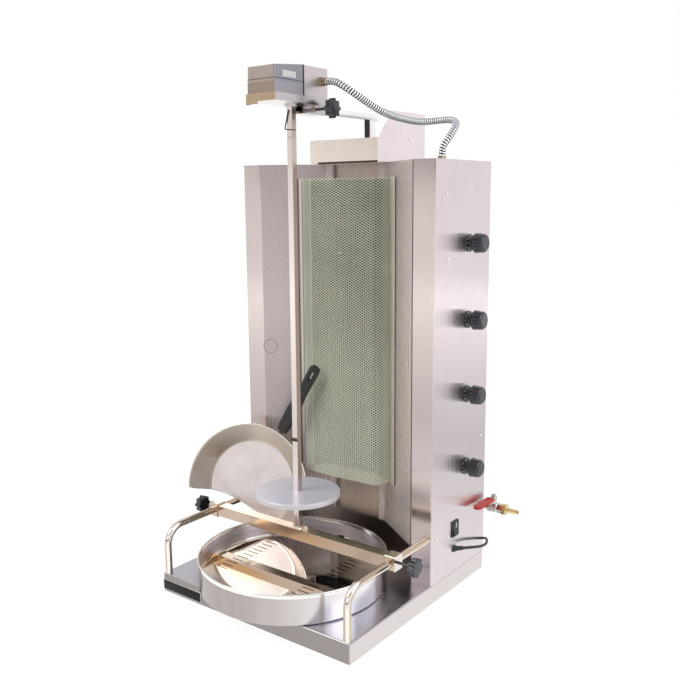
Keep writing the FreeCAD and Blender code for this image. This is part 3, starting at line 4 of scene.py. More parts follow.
import bpy
import numpy as np
from bpy.props import FloatProperty, FloatVectorProperty, PointerProperty
from mathutils import Matrix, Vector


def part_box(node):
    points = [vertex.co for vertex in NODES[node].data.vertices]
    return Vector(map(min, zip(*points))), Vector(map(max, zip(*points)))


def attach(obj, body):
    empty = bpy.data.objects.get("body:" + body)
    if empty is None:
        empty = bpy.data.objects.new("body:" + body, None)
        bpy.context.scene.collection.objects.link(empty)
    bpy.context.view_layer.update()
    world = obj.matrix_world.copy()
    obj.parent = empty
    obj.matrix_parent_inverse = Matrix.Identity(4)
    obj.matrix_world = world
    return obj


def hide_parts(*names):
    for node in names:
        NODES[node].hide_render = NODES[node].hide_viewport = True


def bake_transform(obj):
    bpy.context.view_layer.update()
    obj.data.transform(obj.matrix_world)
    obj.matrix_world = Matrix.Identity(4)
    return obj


bl_info = {
    "name": "Vertical Spit Grill",
    "version": (1, 0, 0),
    "blender": (4, 5, 0),
    "location": "View3D > Sidebar > Grill",
    "description": "Builds the finishes, guard, cable and trim of an upright gas spit grill",
    "category": "Add Mesh",
}

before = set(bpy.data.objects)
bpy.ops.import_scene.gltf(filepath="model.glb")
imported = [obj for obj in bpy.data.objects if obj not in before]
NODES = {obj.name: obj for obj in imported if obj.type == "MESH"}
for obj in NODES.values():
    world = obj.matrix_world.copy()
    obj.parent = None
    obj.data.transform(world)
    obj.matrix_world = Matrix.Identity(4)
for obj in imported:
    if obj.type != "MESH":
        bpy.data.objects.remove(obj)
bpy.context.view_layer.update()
MM = 0.001
MADE = {}  # Materials made so far, by name
BURNERS = 4
BURNER_GAP = 10.5


# Sizes and colours that a user would change


def colour(name, default, description):
    """A colour property in linear light."""
    return FloatVectorProperty(name=name, description=description, subtype="COLOR", size=3, min=0, max=1,
                               default=default)


def length(name, default, description):
    """A length property in metres."""
    return FloatProperty(name=name, description=description, subtype="DISTANCE", unit="LENGTH", default=default,
                         min=0)


class GrillSteelSettings(bpy.types.PropertyGroup):
    """Colours of the sheet steel, by the way each face looks: painted light, a lit or shaded colour for each side."""

    front: colour("Front", (0.67, 0.59, 0.57), "Steel that faces the front")
    right: colour("Right", (0.765, 0.69, 0.71), "Steel that faces right")
    left: colour("Left", (0.55, 0.52, 0.545), "Steel that faces left")
    top: colour("Top", (0.50, 0.50, 0.54), "Steel that faces up")
    roughness: FloatProperty(name="Roughness", description="Roughness of the brushed sheet", default=0.22, min=0,
                             max=1)


class GrillGuardSettings(bpy.types.PropertyGroup):
    """Expanded metal of the guard."""

    long_way: length("Long way", 0.0114, "Width of one opening")
    short_way: length("Short way", 0.0057, "Height of one opening")
    strand: length("Strand", 0.0019, "Width of one strand")
    thickness: length("Thickness", 0.0007, "Thickness of one strand")
    shade: colour("Colour", (0.90, 0.96, 0.76), "Colour of the strands")


class GrillCordSettings(bpy.types.PropertyGroup):
    """Mains cable and conduit."""

    diameter: length("Cable", 0.0064, "Diameter of the mains cable")
    conduit: length("Conduit", 0.0150, "Diameter of the ribbed conduit")
    turn: length("Thread", 0.0055, "Pitch of the conduit's ribs")


class GrillStudioSettings(bpy.types.PropertyGroup):
    """Light, floor and camera."""

    lens: FloatProperty(name="Lens", description="Focal length in millimetres", default=44.143, min=1)
    sky: FloatProperty(name="Sky", description="Strength of the light from all round", default=0.62, min=0)
    key: FloatProperty(name="Key", description="Power of the main lamp", unit="POWER", default=34.0, min=0)
    fill: FloatProperty(name="Fill", description="Power of the second lamp", unit="POWER", default=14.0, min=0)


# Surfaces: every shape is a grid of places or a profile carried along a path


def surface(name, places, wrap_rows=False, wrap_columns=False, flip=False):
    """Mesh of a grid of places: neighbours in rows and columns are joined by quads, wrapped where asked."""
    rows, columns = places.shape[:2]
    a = np.arange(rows if wrap_rows else rows - 1)[:, None]
    b = np.arange(columns if wrap_columns else columns - 1)[None, :]
    right = (b + 1) % columns
    down = (a + 1) % rows
    quads = np.stack([a * columns + b, down * columns + b, down * columns + right, a * columns + right], -1)
    quads = quads.reshape(-1, 4)
    if flip:
        quads = quads[:, ::-1]
    return mesh_of(name, places.reshape(-1, 3), quads)


def paint_columns(mesh, columns, spans):
    """Gives the faces between columns of a wrapped grid their own finish number: spans are (first, last, number)."""
    at = np.arange(len(mesh.polygons)) % columns
    number = np.zeros(len(mesh.polygons), np.int32)
    for first, last, finish in spans:
        number[(at >= first) & (at < last)] = finish
    mesh.polygons.foreach_set("material_index", number)


def mesh_of(name, places, faces, angle=32.0):
    """Mesh from an array of places and an array of faces, smooth up to an angle."""
    mesh = bpy.data.meshes.new(name)
    mesh.from_pydata(places.tolist(), [], faces.tolist())
    mesh.validate()
    mesh.shade_smooth()
    mesh.set_sharp_from_angle(angle=math.radians(angle))
    return mesh


def piece(name, mesh, finish, body, stands_for=()):
    """Object of a mesh with its finish, carried by a body, in place of the named nodes."""
    shown = bpy.data.objects.new(name, mesh)
    bpy.context.scene.collection.objects.link(shown)
    shown.data.materials.append(finish)
    if body:
        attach(shown, body)
    if stands_for:
        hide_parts(*stands_for)
    return shown


def joined(meshes, name):
    """One mesh from several meshes of quads, kept as separate shells."""
    places, faces, start = [], [], 0
    for mesh in meshes:
        flat = np.empty(len(mesh.vertices) * 3)
        mesh.vertices.foreach_get("co", flat)
        corners = np.empty(len(mesh.loops), np.int32)
        mesh.loops.foreach_get("vertex_index", corners)
        places.append(flat.reshape(-1, 3))
        faces.append(corners.reshape(-1, 4) + start)
        start += len(mesh.vertices)
    return mesh_of(name, np.vstack(places), np.vstack(faces))


def box_piece(name, lo, hi, radius, finish, body):
    """Box with round edges between two corners in millimetres, as a piece of its own."""
    mesh = surface(name, rounded_box(np.multiply(lo, MM), np.multiply(hi, MM), radius * MM), wrap_columns=True)
    return piece(name, mesh, finish, body)


def angles(steps):
    """Angles of one whole turn."""
    return np.linspace(0, 2 * math.pi, steps, endpoint=False)


def squared(a, power):
    """Cosine and sine of the angles, drawn out towards a square by a power below one."""
    return tuple(np.sign(part) * np.abs(part) ** power for part in (np.cos(a), np.sin(a)))


def capped(rings):
    """The same rings with both ends closed at their middles."""
    ends = rings[[0, -1]].mean(1, keepdims=True).repeat(rings.shape[1], 1)
    return np.concatenate([ends[:1], rings, ends[1:]])


def raised(loop, heights):
    """Upright walls on a plan: the same outline at each height."""
    shape = (len(heights), len(loop))
    return np.stack([np.broadcast_to(loop[:, 0], shape), np.broadcast_to(loop[:, 1], shape),
                     np.broadcast_to(np.asarray(heights)[:, None], shape)], -1)


def unit(rows):
    """Rows of vectors, each brought to length one."""
    return rows / np.linalg.norm(rows, axis=1)[:, None]


def turned(profile, centre, steps=160):
    """Closed profile of (radius, height) turned round an upright axis: x = r cos a, y = r sin a, z = h."""
    a = angles(steps)[:, None]
    r, h = profile.T
    return np.stack(np.broadcast_arrays(centre[0] + r * np.cos(a), centre[1] + r * np.sin(a), h), -1)


def frames_along(path):
    """Two steady sideways directions at each point of a path, each carried on from the one before."""
    way = unit(np.gradient(path, axis=0))
    side = np.empty_like(way)
    guess = np.array([0.0, 0.0, 1.0]) if abs(way[0, 2]) < 0.9 else np.array([0.0, 1.0, 0.0])
    for i, heading in enumerate(way):
        guess = guess - heading * guess.dot(heading)
        guess /= np.linalg.norm(guess)
        side[i] = guess
    return side, np.cross(way, side)


def tube(path, radius, steps=24):
    """Closed tube along a path: place = path + r (side cos a + up sin a), where r may differ from place to place."""
    side, up = frames_along(path)
    a = angles(steps)[None, :, None]
    return capped(path[:, None] + (side[:, None] * np.cos(a) + up[:, None] * np.sin(a)) * np.asarray(radius)[..., None])


def rounded_box(lo, hi, radius, steps=5):
    """Box with round edges: a sphere's grid, each octant moved out to its corner."""
    quarter = np.linspace(0, math.pi / 2, steps)
    up = np.concatenate([quarter - math.pi / 2, quarter])[:, None]
    about = np.concatenate([quarter + math.pi / 2 * k for k in range(4)])[None, :]
    ball = np.stack(np.broadcast_arrays(np.cos(up) * np.cos(about), np.cos(up) * np.sin(about), np.sin(up)), -1)
    signs = np.stack(np.broadcast_arrays(np.repeat([1, -1, -1, 1], steps)[None, :],
                                         np.repeat([1, 1, -1, -1], steps)[None, :],
                                         np.repeat([-1, 1], steps)[:, None]), -1)
    return (lo + hi) / 2 + ball * radius + signs * ((hi - lo) / 2 - radius)


# Finishes


class Shade:
    """A node tree with short ways to add nodes and join them."""

    def __init__(self, tree):
        self.tree = tree

    def add(self, kind, *values, **settings):
        """Adds a node; values go to its inputs in order, and None leaves an input as it is."""
        node = self.tree.nodes.new("ShaderNode" + kind)
        for key, value in settings.items():
            setattr(node, key, value)
        for socket, value in zip(node.inputs, values):
            self.put(socket, value)
        return node

    def put(self, socket, value):
        """Joins or sets one input."""
        if value is None:
            return
        if isinstance(value, bpy.types.NodeSocket):
            self.tree.links.new(value, socket)
        else:
            socket.default_value = value

    def math(self, operation, a, b=None):
        """One sum of two values."""
        return self.add("Math", a, b, operation=operation).outputs[0]

    def product(self, first, *others):
        """Product of several values."""
        for other in others:
            first = self.math("MULTIPLY", first, other)
        return first

    def dot(self, a, b):
        """Share of one direction that lies along another."""
        return self.add("VectorMath", a, b, operation="DOT_PRODUCT").outputs["Value"]

    def parts(self, vector):
        """The x, y and z of a vector."""
        return self.add("SeparateXYZ", vector).outputs

    def place(self):
        """Object coordinates."""
        return self.add("TexCoord").outputs["Object"]

    def mix(self, share, a, b):
        """Colour a where the share is 0, colour b where it is 1."""
        node = self.add("Mix", data_type="RGBA")
        self.put(node.inputs[0], share)
        self.put(node.inputs[6], a)
        self.put(node.inputs[7], b)
        return node.outputs[2]

    def span(self, value, low, high, to_low, to_high):
        """Straight rise or fall between two values, level outside them."""
        return self.add("MapRange", value, low, high, to_low, to_high).outputs[0]

    def noise(self, vector, scale, detail, rough):
        """Cloudy noise between 0 and 1."""
        node = self.add("TexNoise")
        self.put(node.inputs["Vector"], vector)
        self.put(node.inputs["Scale"], scale)
        self.put(node.inputs["Detail"], detail)
        self.put(node.inputs["Roughness"], rough)
        return node.outputs[0]


def rgba(value):
    """Colour with full alpha."""
    return (*value, 1.0)


def new_group(name, inputs, outputs):
    """Empty node group with named sockets: each input is (name, kind, default)."""
    tree = bpy.data.node_groups.new(name, "ShaderNodeTree")
    for label, kind, default in inputs:
        socket = tree.interface.new_socket(label, in_out="INPUT", socket_type="NodeSocket" + kind)
        socket.default_value = default
    for label, kind in outputs:
        tree.interface.new_socket(label, in_out="OUTPUT", socket_type="NodeSocket" + kind)
    shade = Shade(tree)
    return shade, tree.nodes.new("NodeGroupInput").outputs, tree.nodes.new("NodeGroupOutput").inputs


def facing_light_group():
    """Painted light: colour by the way a face looks, a lit or shaded colour for each side; the squares of the normal's
    parts share out the four colours.
    """
    shade, given, made = new_group("Painted facing light", [
        ("Front", "Color", (0.6, 0.5, 0.45, 1)), ("Right", "Color", (0.8, 0.75, 0.77, 1)),
        ("Left", "Color", (0.6, 0.55, 0.57, 1)), ("Top", "Color", (0.5, 0.5, 0.55, 1))], [("Color", "Color")])
    normal = shade.add("NewGeometry").outputs["Normal"]
    squares = shade.parts(shade.add("VectorMath", normal, normal, operation="MULTIPLY").outputs[0])
    to_right = shade.math("GREATER_THAN", shade.parts(normal)[0], 0.0)
    side = shade.mix(to_right, given["Left"], given["Right"])
    front = shade.mix(squares[0], given["Front"], side)
    shade.put(made["Color"], shade.mix(squares[2], front, given["Top"]))


def grain_group():
    """Brushed sheet: long thin noise for the brushing, and broad noise for clouds and wiped patches."""
    shade, given, made = new_group("Sheet grain", [
        ("Color", "Color", (0.6, 0.6, 0.6, 1)), ("Stretch", "Vector", (300, 300, 8)), ("Depth", "Float", 0.06),
        ("Cloud", "Float", 0.05), ("Roughness", "Float", 0.3)],
        [("Color", "Color"), ("Roughness", "Float"), ("Height", "Float")])
    place = shade.place()
    stretched = shade.add("VectorMath", place, given["Stretch"], operation="MULTIPLY").outputs[0]
    lines = shade.noise(stretched, 1.0, 3.0, 0.6)
    swing = shade.math("SUBTRACT", lines, 0.5)
    clouds = shade.math("SUBTRACT", shade.noise(place, 7.0, 3.0, 0.55), 0.5)
    wipes = shade.math("SUBTRACT", shade.noise(place, 24.0, 2.0, 0.5), 0.5)
    change = shade.math("ADD", shade.product(swing, given["Depth"]), shade.product(clouds, given["Cloud"]))
    scaled = shade.add("VectorMath", given["Color"], operation="SCALE")
    shade.put(scaled.inputs["Scale"], shade.math("ADD", 1.0, change))
    shade.put(made["Color"], scaled.outputs[0])
    rough = shade.math("ADD", given["Roughness"], shade.product(swing, 0.16))
    rough = shade.math("ADD", rough, shade.product(wipes, 0.10))
    shade.put(made["Roughness"], shade.math("MAXIMUM", rough, 0.03))
    shade.put(made["Height"], lines)


def soot_and_shade_group():
    """Painted shade and soot behind the guard: inside its width and height the colour turns dark and the skin rough."""
    shade, given, made = new_group("Painted shade and soot", [
        ("Color", "Color", (0.6, 0.6, 0.6, 1)), ("Roughness", "Float", 0.3), ("Soot", "Color", (0.03, 0.03, 0.028, 1))],
        [("Color", "Color"), ("Roughness", "Float")])
    place = shade.place()
    x, _, z = shade.parts(place)
    # Share of painted shade and soot: a box behind the guard, broken up by noise.
    dark_share = shade.product(shade.span(x, -0.137, -0.129, 0.0, 1.0), shade.span(x, 0.1105, 0.1135, 1.0, 0.0),
                          shade.span(z, 0.224, 0.234, 0.0, 1.0), shade.span(z, 0.912, 0.919, 1.0, 0.0),
                          shade.span(shade.noise(place, 18.0, 3.0, 0.6), 0.2, 0.6, 0.86, 1.0))
    shade.put(made["Color"], shade.mix(dark_share, given["Color"], given["Soot"]))
    shade.put(made["Roughness"], shade.math("ADD", given["Roughness"], shade.product(dark_share, 0.4)))


def skin_group():
    """Moulded or cast skin: fine noise for its grain and broad noise for handling marks."""
    shade, given, made = new_group("Moulded skin", [
        ("Color", "Color", (0.03, 0.03, 0.03, 1)), ("Worn", "Color", (0.07, 0.07, 0.07, 1)),
        ("Fineness", "Float", 900.0), ("Roughness", "Float", 0.4), ("Spread", "Float", 0.12)],
        [("Color", "Color"), ("Roughness", "Float"), ("Height", "Float")])
    place = shade.place()
    broad = shade.noise(place, 46.0, 3.0, 0.6)
    worn = shade.span(broad, 0.48, 0.75, 0.0, 0.8)
    shade.put(made["Color"], shade.mix(worn, given["Color"], given["Worn"]))
    shift = shade.product(shade.math("SUBTRACT", broad, 0.5), given["Spread"])
    shade.put(made["Roughness"], shade.math("ADD", given["Roughness"], shift))
    shade.put(made["Height"], shade.noise(place, given["Fineness"], 2.0, 0.6))


def groups():
    """The shared effects, built once."""
    for name, build in (("Painted facing light", facing_light_group), ("Sheet grain", grain_group),
                        ("Painted shade and soot", soot_and_shade_group), ("Moulded skin", skin_group)):
        if name not in bpy.data.node_groups:
            build()
    return bpy.data.node_groups


def placed(shade, group, **values):
    """A group placed in a material with its own values."""
    node = shade.add("Group")
    node.node_tree = groups()[group]
    for key, value in values.items():
        shade.put(node.inputs[key], value)
    return node.outputs


def finish_with(name, tone, rough, height, bump, metallic, **sockets):
    """Principled finish from ready outputs; bump is its strength and distance, or None."""
    material = MADE[name]
    tree = material.node_tree
    shader = tree.nodes["Principled BSDF"]
    shade = Shade(tree)
    shade.put(shader.inputs["Base Color"], tone)
    shade.put(shader.inputs["Roughness"], rough)
    shader.inputs["Metallic"].default_value = metallic
    for key, value in sockets.items():
        shader.inputs[key].default_value = value
    if bump:
        node = shade.add("Bump")
        node.inputs["Strength"].default_value = bump[0]
        node.inputs["Distance"].default_value = bump[1]
        shade.put(node.inputs["Height"], height)
        shade.put(shader.inputs["Normal"], node.outputs[0])
    return material


def blank(name):
    """A new material and its tree."""
    material = MADE[name] = bpy.data.materials.new("grill_" + name)
    material.use_nodes = True
    return Shade(material.node_tree)


def steel(name, front, right=None, left=None, top=None, stretch=(300, 300, 8), depth=0.06, cloud=0.05,
          roughness=0.3, bump=(0.02, 0.0002), metallic=1.0, brushed=0.0, turned_by=0.0, soot_and_shade=False):
    """Brushed or rolled steel whose colour follows the way each face looks, as painted light: a lit or shaded colour
    for each side.
    """
    if name in MADE:
        return MADE[name]
    right = right or front
    shade = blank(name)
    # Painted light: one colour for each way a face looks.
    facing = placed(shade, "Painted facing light", Front=rgba(front), Right=rgba(right), Left=rgba(left or right),
                    Top=rgba(top or front))
    grain = placed(shade, "Sheet grain", Color=facing["Color"], Stretch=stretch, Depth=depth, Cloud=cloud,
                   Roughness=roughness)
    skin, rough = grain["Color"], grain["Roughness"]
    if soot_and_shade:
        darkened = placed(shade, "Painted shade and soot", Color=skin, Roughness=rough)
        skin, rough = darkened["Color"], darkened["Roughness"]
    return finish_with(name, skin, rough, grain["Height"], bump, metallic,
                       **{"Anisotropic": brushed, "Anisotropic Rotation": turned_by})


def moulded(name, base, worn=None, fineness=900.0, roughness=0.4, spread=0.12, bump=(0.12, 0.0001), metallic=0.0,
            **sockets):
    """Plastic, rubber, paint or cast skin."""
    if name in MADE:
        return MADE[name]
    worn = worn or tuple(c * 1.6 + 0.01 for c in base)
    shade = blank(name)
    skin = placed(shade, "Moulded skin", Color=rgba(base), Worn=rgba(worn), Fineness=fineness, Roughness=roughness,
                  Spread=spread)
    return finish_with(name, skin["Color"], skin["Roughness"], skin["Height"], bump, metallic, **sockets)


def dress(material, *names):
    """Gives nodes a finish."""
    for name in names:
        node = NODES[name]
        if not node.data.materials:
            node.data.materials.append(material)
        for i in range(len(node.material_slots)):
            node.material_slots[i].material = material


# Finishes of this grill


def housing_steel():
    """Brushed sheet of the columns, the top and the back; its face colours are painted light."""
    s = bpy.context.scene.grill_steel
    return steel("housing_steel", s.front, s.right, s.left, s.top, roughness=s.roughness, brushed=1.0)


def wing_steel():
    """Duller sheet of the reflectors, with painted shade and soot behind the guard; its face colours are painted light.
    """
    return steel("wing_steel", (0.60, 0.52, 0.49), (0.53, 0.475, 0.50), (0.97, 0.88, 0.84), (0.5, 0.5, 0.53),
                 roughness=0.27, cloud=0.1, brushed=0.8, metallic=0.4, soot_and_shade=True)


def plinth_steel():
    """Sheet of the plinth, brushed along its width; its dark front and bright right side are painted light."""
    return steel("plinth_steel", (0.33, 0.30, 0.29), (0.72, 0.66, 0.655), (0.5, 0.47, 0.48), (0.55, 0.55, 0.61),
                 stretch=(8, 220, 220), depth=0.04, roughness=0.24, cloud=0.06, bump=(0.012, 0.0001), brushed=0.4)


def inner_steel():
    """Sheet inside the recess; its warm dark colour is painted reflection and painted shade of the recess, with painted
    shade and soot behind the guard.
    """
    return steel("inner_steel", (0.45, 0.375, 0.315), (0.40, 0.35, 0.33), stretch=(120, 120, 4), depth=0.35,
                 roughness=0.34, bump=(0.02, 0.0001), brushed=0.8, soot_and_shade=True)


def chrome():
    """Bright plating of small parts; its face colours are painted light."""
    return steel("bright_chrome", (0.88, 0.80, 0.72), (0.95, 0.91, 0.86), (0.86, 0.79, 0.72), (0.97, 0.93, 0.86),
                 stretch=(40, 40, 40), depth=0.04, cloud=0.05, roughness=0.07, bump=None)


def rail_chrome():
    """Bright tube with a painted reflection: bands of brown and tan lie along it, as polished tubes show of the room,
    by how far a face turns away."""
    if "rail_chrome" in MADE:
        return MADE["rail_chrome"]
    shade = blank("rail_chrome")
    # Painted reflection of the room, laid on by how far a face turns from the view.
    bands = shade.add("ValToRGB", shade.add("LayerWeight", 0.5).outputs["Facing"])
    steps = ((0.0, (0.96, 0.93, 0.88)), (0.20, (0.93, 0.88, 0.80)), (0.30, (0.40, 0.31, 0.24)),
             (0.40, (0.62, 0.50, 0.39)), (0.55, (0.90, 0.82, 0.70)), (0.78, (0.70, 0.60, 0.50)),
             (0.90, (0.14, 0.11, 0.09)))
    ramp = bands.color_ramp.elements
    for i, (at, tone) in enumerate(steps):
        stop = ramp[i] if i < 2 else ramp.new(at)
        stop.position, stop.color = at, rgba(tone)
    grain = placed(shade, "Sheet grain", Color=bands.outputs[0], Stretch=(40, 40, 40), Depth=0.04, Cloud=0.05,
                   Roughness=0.09)
    return finish_with("rail_chrome", grain["Color"], grain["Roughness"], None, None, 1.0)


def seam_black_and_shade():
    """Black of a seam, and painted shade where it fills a slit or gap."""
    return moulded("seam_black_and_shade", (0.03, 0.024, 0.02), roughness=0.7, bump=None)


def mark_white():
    """White print on knobs, bezels and the rocker."""
    return moulded("mark_white", (0.78, 0.78, 0.77), (0.7, 0.7, 0.69), roughness=0.45)


def black_plastic():
    """Glossy black of the knobs."""
    return moulded("black_plastic", (0.006, 0.007, 0.009), (0.012, 0.013, 0.016), roughness=0.14, spread=0.1,
                   bump=(0.05, 0.0001), **{"Specular IOR Level": 0.95, "Specular Tint": (0.88, 0.94, 1.0, 1.0)})


def zinc():
    """Dull zinc plating; its face colours are painted light."""
    return steel("zinc_plate", (0.58, 0.57, 0.54), (0.66, 0.66, 0.66), (0.5, 0.5, 0.5), (0.7, 0.7, 0.7),
                 stretch=(70, 70, 70), depth=0.14, cloud=0.2, roughness=0.3)


# Routes


CABLE_ROUTE = [(291, 171, 90.5), (293, 193, 84.5), (291, 218, 79), (285, 240, 74), (276, 262, 70), (262, 284, 66),
               (242, 297, 57), (217, 302, 40), (193, 303, 21)]
CONDUIT_ROUTE = [(87, -47, 1097), (102, -39.5, 1086.5), (111, -27, 1076.5), (116, -11.5, 1068.5),
                 (124, 5.5, 1058.5), (131.5, 24, 1049.5), (138.5, 43.5, 1043), (145, 64, 1038.5),
                 (150.5, 85.5, 1035.5), (157, 104, 1033), (164, 121.5, 1032), (170, 138, 1032.5),
                 (180, 153, 1034), (195, 163, 1035.5), (213, 166.5, 1036), (230, 160, 1032.5), (241, 147, 1025),
                 (246.5, 132, 1015), (246.5, 118, 1003), (242.5, 107.5, 990)]
CONDUIT_START = np.array([50.0, -47.0, 1107.0])
CONDUIT_END = np.array([235.0, 99.5, 957.5])
GLAND_REACH = 18.0
COIL = {"centre": (140.0, 345.0), "outer": 45.5, "step": 7.0, "turns_in": 3.0, "turns_out": 2.5}
CABLE_RADIUS = 3.2
CABLE_EXIT = np.array([262.0, 127.0, 95.0])
BUSH_REACH = 10.0
PLUG_LEAD = 48.0
PLUG_HEIGHT = 18.0


def coil_places(turned_by):
    """Coil in two layers: the radius shrinks a step each turn on the floor, the line climbs a step in half a
    turn, and the radius grows again."""
    c = COIL
    t = np.asarray(turned_by, float)
    inner = c["outer"] - c["step"] * c["turns_in"]
    climb = np.clip((t - c["turns_in"]) / 0.5, 0, 1)
    radius = np.where(t <= c["turns_in"], c["outer"] - c["step"] * t, inner)
    radius = radius - 0.3 * c["step"] * np.sin(math.pi * climb)
    radius = radius + c["step"] * np.clip(t - c["turns_in"] - 0.5, 0, None)
    height = CABLE_RADIUS + c["step"] * (1 - np.cos(math.pi * climb)) / 2
    a = -math.pi / 2 - 2 * math.pi * t
    return np.stack([c["centre"][0] + radius * np.cos(a), c["centre"][1] + radius * np.sin(a), height], -1)


def cable_control_points():
    """Points of the whole lead: out of the bush, round the corner, down to the floor, coil and plug."""
    out = np.array([1.0, 1.0, 0.0]) / math.sqrt(2)
    start = CABLE_EXIT + out * BUSH_REACH
    total = COIL["turns_in"] + 0.5 + COIL["turns_out"]
    turns = coil_places(np.linspace(0, total, int(total * 16) + 1))
    lead_in = turns[0] - (turns[1] - turns[0]) / np.linalg.norm(turns[1] - turns[0]) * 28
    end = turns[-1]
    entry = np.array([end[0] - PLUG_LEAD, end[1], PLUG_HEIGHT])
    lead_out = [end + (-13, -0.2, 1.0), entry + (17, -0.4, -1.4), entry]
    return np.vstack([start, start + out * 21, CABLE_ROUTE, lead_in, turns, lead_out]) * MM


def spline(name, points):
    """Smooth open spline that starts and ends at its end points."""
    curve = bpy.data.curves.new(name, "CURVE")
    curve.dimensions = "3D"
    line = curve.splines.new("NURBS")
    line.points.add(len(points) - 1)
    flat = np.hstack([points, np.ones((len(points), 1))]).ravel()
    line.points.foreach_set("co", flat)
    line.order_u = 3
    line.use_endpoint_u = True
    line.resolution_u = 6
    return curve


def line_places(curve):
    """Points read from a spline without its thickness."""
    shown = bpy.data.objects.new("route_reading", curve)
    bpy.context.scene.collection.objects.link(shown)
    bpy.context.view_layer.update()
    mesh = bpy.data.meshes.new_from_object(shown)
    flat = np.empty(len(mesh.vertices) * 3)
    mesh.vertices.foreach_get("co", flat)
    bpy.data.objects.remove(shown)
    bpy.data.meshes.remove(mesh)
    return flat.reshape(-1, 3)


def aim(shown, side, above, back, place):
    """Sets a camera or a lamp by its three axes and its place."""
    matrix = Matrix.Identity(4)
    for column, values in enumerate((side, above, back, place)):
        for row in range(3):
            matrix[row][column] = values[row]
    shown.matrix_world = matrix


def even(path, spacing):
    """The same line with points a steady distance apart."""
    run = np.concatenate([[0], np.cumsum(np.linalg.norm(np.diff(path, axis=0), axis=1))])
    count = max(int(run[-1] / spacing), 2)
    at = np.linspace(0, run[-1], count)
    return np.stack([np.interp(at, run, path[:, k]) for k in range(3)], -1), at


# Operators, one for each group of pieces


class Build(bpy.types.Operator):
    """What every operator of the grill shares."""

    bl_options = {"REGISTER", "UNDO"}

    def execute(self, context):
        self.build(context.scene)
        return {"FINISHED"}


